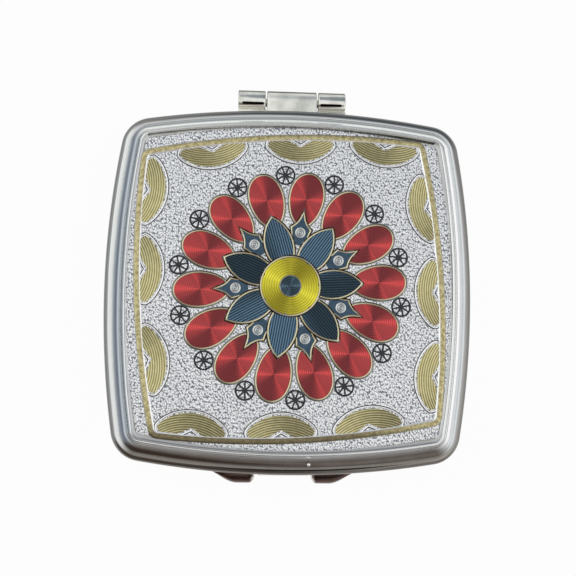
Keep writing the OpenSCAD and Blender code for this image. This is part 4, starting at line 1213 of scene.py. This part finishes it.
# A crescent about the middle of its back: an arc below, round ends, and two lobes with a notch between
def crescentLine(steps=14):
    half, deep, end = crescentHalf, crescent["depth"], crescentEnd
    lobe, dip = half * crescent["lobeShare"], half * crescent["dipShare"]
    swing = np.linspace(-math.pi / 2, math.pi / 2, 3 * steps)
    arc = np.stack([half * np.sin(swing), -end - (deep - end) * np.cos(swing) ** 1.5], -1)
    bend = arrows(np.linspace(0, math.pi / 2, steps)[1:])
    right = [lobe, -end] + bend * [half - lobe, end]
    notch = bowedLine((lobe, 0), (dip, 0), 0, steps)[1:]
    slope = bowedLine((dip, 0), (0, -deep * crescent["notchShare"]), 0, steps)[1:]
    way = np.concatenate([right, notch, slope])
    return np.concatenate([arc, way, way[-2::-1] * [-1, 1]])


# The twelve crescents' points: tipped by their place along a side, moved to the border's inner edge and
# turned to each side
def crescentPlaced(points):
    c = crescent
    inner = case["sideRadius"] - art["borderIn"] - art["borderWidth"] - c["in"]
    placed = []
    for turn, side in zip(wholeTurn(4), c["places"]):
        for x in side:
            tipped = spun(points, -c["tipShare"] * math.asin(x / case["sideRadius"]))
            tipped[..., :2] += [x, math.sqrt(inner ** 2 - x ** 2) - case["back"]]
            placed.append(spun(tipped, turn))
    return placed


# The border's inner edge drawn in by a further distance: the bowed plan with its own corner radius
def borderLine(further, radius):
    inset = art["borderIn"] + art["borderWidth"] + further
    return bowedSquare(inset, radius, art["borderSideSteps"], art["borderCornerSteps"])[0]


# The field is a grid between the back and the arc, domed across and towards the ends; its UV is turned
# about a centre behind the crescent. The outline is a ridge on the grown line, sunk beyond the border
def makeCrescents():
    c, half, deep, end = crescent, crescentHalf, crescent["depth"], crescentEnd
    u = np.sin(np.linspace(-math.pi / 2, math.pi / 2, c["cols"]))
    v = np.linspace(0, 1, c["rows"])[:, None]
    arc = -end - (deep - end) * (1 - u ** 2) ** 0.75
    bend = np.clip((np.abs(u) - c["lobeShare"]) / (1 - c["lobeShare"]), 0, 1)
    notch = c["notchShare"] * np.clip(1 - np.abs(u) / c["dipShare"], 0, 1)
    back = -end * (1 - np.sqrt(1 - bend ** 2)) - deep * notch
    crown = c["lift"] + c["dome"] * (1 - (2 * v - 1) ** 2) * (1 - u ** 4)
    grid = stacked(half * u, back + (arc - back) * v, crown)
    grid = np.concatenate([grid, lifted(grid[::-1, :, :2], ridge["foot"])])
    faces = gridFaces(grid, wrapRows=True, wrapCols=False)
    ray = ([0, c["centre"]] - grid[..., :2]).reshape(-1, 2)
    uv = np.stack([np.arctan2(-ray[:, 0], ray[:, 1]), np.linalg.norm(ray, axis=1)], -1)[faces]
    points, every = joined([(place, faces) for place in crescentPlaced(grid)])
    makePiece("goldCrescents", ontoPlaque(points), every, lacquer["gold"], "lid", ("gold_crescents",),
        np.tile(uv, (len(every) // len(faces), 1, 1)), sharp=60)
    ridges = [ridgeAlong(line, 0.0, c) for line in crescentPlaced(grownLine(crescentLine(), c["grown"]))]
    points, every = joined([(grid, faces) for grid, faces, uv in ridges])
    points = sunkWhere(~insideLine(points, borderLine(c["clear"], art["borderRadius"])), points)
    makePiece("crescentOutlines", ontoPlaque(points), every, ridgeFoil["silver outline"], "lid", (),
        np.concatenate([uv for grid, faces, uv in ridges]))


borderRidge = {
    "offset": (-0.28, -0.22, -0.06, 0.0, 0.05, 0.2, 0.34, 0.48, 0.63, 0.68, 0.74, 0.9, 0.96),
    "height": (0.0, 0.02, 0.11, 0.12, 0.085, 0.1, 0.105, 0.1, 0.085, 0.12, 0.11, 0.02, 0.0),
    "steps": 600,
}


# A gold band between two silver slopes, its section carried round the border's inner edge
def makeBorder():
    inner = evenLine(borderLine(0.0, art["borderRadius"] - art["borderWidth"]), borderRidge["steps"])
    motif = ridgeAlong(inner, 0.0, borderRidge)
    makeOrnament("goldBorder", motif, [0.0], borderGold, ("gold_border",))


plaque = {
    "thick": 0.35, "cells": 268, "edge": 0.12, "lip": 0.05, "cornerIn": 0.42, "relief": 0.018,
    "coarse": 2.2, "fine": 1.3, "fineShare": 0.6, "seed": 7,
}


# Smooth noise over a square of cells: random heights on a coarser lattice, blended by an eased share
def latticeNoise(cells, pitchCells, rng):
    coarse = int(cells / pitchCells) + 3
    lattice = rng.random((coarse, coarse))
    at = np.arange(cells) / pitchCells
    low = at.astype(int)
    part = at - low
    ease = part * part * (3 - 2 * part)
    across = lattice[:, low] * (1 - ease) + lattice[:, low + 1] * ease
    return across[low] * (1 - ease)[:, None] + across[low + 1] * ease[:, None]


# The sheet: a square of cells stretched to the bowed plan, its face pressed all over, with walls down to
# an underside that closes at a pole
def makeSheet():
    p, n = plaque, plaque["cells"]
    rng = np.random.default_rng(p["seed"])
    t = np.linspace(-1, 1, n)
    s, r = np.meshgrid(t, t, indexing="ij")
    half = case["half"] - case["plaqueInset"]
    corner = crossing(case["sideRadius"] - case["plaqueInset"]) - p["cornerIn"]
    x, y = s * (corner + (half - corner) * (1 - r ** 2)), r * (corner + (half - corner) * (1 - s ** 2))
    relief = latticeNoise(n, p["coarse"], rng) + p["fineShare"] * latticeNoise(n, p["fine"], rng)
    inside = np.clip((1 - np.maximum(abs(s), abs(r))) * half / p["edge"], 0, 1)
    z = case["face"] + p["relief"] * (relief - relief.mean()) * inside - p["lip"] * (1 - inside)
    top = np.stack([x, y, z], -1)
    ring = np.concatenate([top[0], top[1:, -1], top[-1, -2::-1], top[-2:0:-1, 0]])
    low = case["face"] - p["thick"]
    rim, pole = lifted(ring[:, :2], low), np.broadcast_to([0, 0, low], ring.shape)
    walls = np.stack([ring, rim, pole])
    points, faces = joined([(top, gridFaces(top, wrapCols=False)), (walls, gridFaces(walls))])
    makePiece("plaqueSheet", points, faces, foil, "lid", ("plaque",), sharp=60)


makePetals()
makeDisc()
makePearls()
makeWheels()
makeCrescents()
makeBorder()
makeSheet()
print("stage: plaque")

# Inner pieces keep their CAD shapes, with rounded edges where they show
roundedCopy("push_button", 0.18, plating["plain"], "button", 3)
roundedCopy("base_liner", 0.12, moulded["liner plastic"], "base", 2)
roundedCopy("lid_liner", 0.12, moulded["liner plastic"], "lid", 2)
roundedCopy("base_mirror", 0.16, mirrorGlass, "base", 1)
roundedCopy("lid_mirror", 0.16, mirrorGlass, "lid", 1)
roundedCopy("strike_tongue", 0.1, steel, "lid", 2)
plainNodes = {
    "base_mirror_pad": moulded["foam"], "lid_mirror_pad": moulded["foam"], "hinge_pin": steel,
    "rest_bumpers": moulded["bumper rubber"], "button_spring": steel, "strike_rivets": steel,
    "plaque_film": moulded["adhesive film"],
}
for node, material in plainNodes.items():
    dressMesh(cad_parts[node].data, material, 35)
print("stage: inner pieces")

floorLook = {"size": 1.2, "tone": (0.82, 0.82, 0.81, 1), "glow": 0.95}


# A white floor that shows its own pale shade to light, and nearly plain white to the camera and mirrors
def makeFloor():
    mesh, corner = bpy.data.meshes.new("floor"), floorLook["size"] / 2
    corners = [(-corner, -corner, 0), (corner, -corner, 0), (corner, corner, 0), (-corner, corner, 0)]
    mesh.from_pydata(corners, [], [(0, 1, 2, 3)])
    tree = newMaterial("pale floor", Roughness=0.9, Base_Color=floorLook["tone"])
    glow = tree.add("Emission", {"Color": (1, 1, 1, 1), "Strength": 1.0}).outputs[0]
    path = tree.add("LightPath").outputs
    seen = tree.math("MAXIMUM", path["Is Camera Ray"], path["Is Glossy Ray"])
    seen = tree.math("MAXIMUM", seen, path["Is Transmission Ray"])
    share = tree.math("MULTIPLY", seen, floorLook["glow"])
    both = tree.add("MixShader", {0: share, 1: tree.shader.outputs[0], 2: glow}).outputs[0]
    tree.join(both, tree.output.inputs[0])
    mesh.materials.append(tree.material)
    addObject("floor", mesh)


# Round patches of light or shade in the studio's sky: compass angle, elevation, half width and softness
# in degrees, and colour; the sky itself pales from low to high
skyPatches = [
    {"turn": -20, "rise": 40, "wide": 20, "soft": 14, "tone": (1.15, 1.1385, 1.1155)},
    {"turn": 160, "rise": 40, "wide": 20, "soft": 14, "tone": (1.0925, 1.1385, 1.1155)},
    {"turn": 65, "rise": 42, "wide": 17, "soft": 14, "tone": (0.3, 0.33, 0.38)},
    {"turn": -118, "rise": 36, "wide": 24, "soft": 14, "tone": (0.24, 0.2, 0.18)},
    {"turn": -80, "rise": 64, "wide": 8, "soft": 3, "tone": (0.05, 0.05, 0.05)},
]
skyStops = [(0.0, (0.62, 0.64, 0.67)), (0.3, (0.85, 0.86, 0.87)), (0.8, (0.92, 0.92, 0.93))]


# A patch lies where the way looked and its own aim have a dot product near one; the camera sees white
def makeSky():
    world = bpy.data.worlds.new("studio")
    bpy.context.scene.world = world
    world.use_nodes = True
    tree = Tree(world.node_tree)
    way = tree.add("TexCoord").outputs["Generated"]
    tone = tree.ramp(tree.axis(way, 2), skyStops)
    for patch in skyPatches:
        turn, up = math.radians(patch["turn"]), math.radians(patch["rise"])
        aim = (math.cos(turn) * math.cos(up), math.sin(turn) * math.cos(up), math.sin(up))
        near = tree.add("VectorMath", {0: way, 1: aim}, operation="DOT_PRODUCT").outputs["Value"]
        outer, inner = [math.cos(math.radians(patch["wide"] + more)) for more in (patch["soft"], 0)]
        tone = tree.mix(tree.between(near, outer, inner, smooth=True), tone, patch["tone"])
    lit, white = [tree.add("Background", {0: c, 1: 1.0}).outputs[0] for c in (tone, (1, 1, 1, 1))]
    seen = tree.add("LightPath").outputs["Is Camera Ray"]
    both = tree.add("MixShader", {0: seen, 1: lit, 2: white}).outputs[0]
    tree.add("OutputWorld", {0: both})


# The camera as the photograph had it, in millimetres about the case's frame
view = {
    "position": (-8.6, -19.7, 165.4), "aim": (-0.4, -0.35, 11.07), "rollDegrees": 0.9, "lens": 56.25,
    "sensor": 36, "nearest": 0.005,
}


# The camera looks along the way to its aim, rolled about it from upright
def makeCamera():
    data = bpy.data.cameras.new("camera")
    data.lens, data.sensor_width, data.clip_start = view["lens"], view["sensor"], view["nearest"]
    camera = addObject("camera", data)
    roll = math.radians(view["rollDegrees"])
    forward = (Vector(view["aim"]) - Vector(view["position"])).normalized()
    right = forward.cross(Vector((-math.sin(roll), math.cos(roll), 0))).normalized()
    up = right.cross(forward)
    turn = Matrix((right, up, -forward)).transposed()
    camera.matrix_world = Matrix.Translation(Vector(view["position"]) * mm) @ turn.to_4x4()
    bpy.context.scene.camera = camera


makeFloor()
makeSky()
makeCamera()
bpy.context.scene.view_settings.view_transform = "Standard"
print("stage: floor, light and camera")
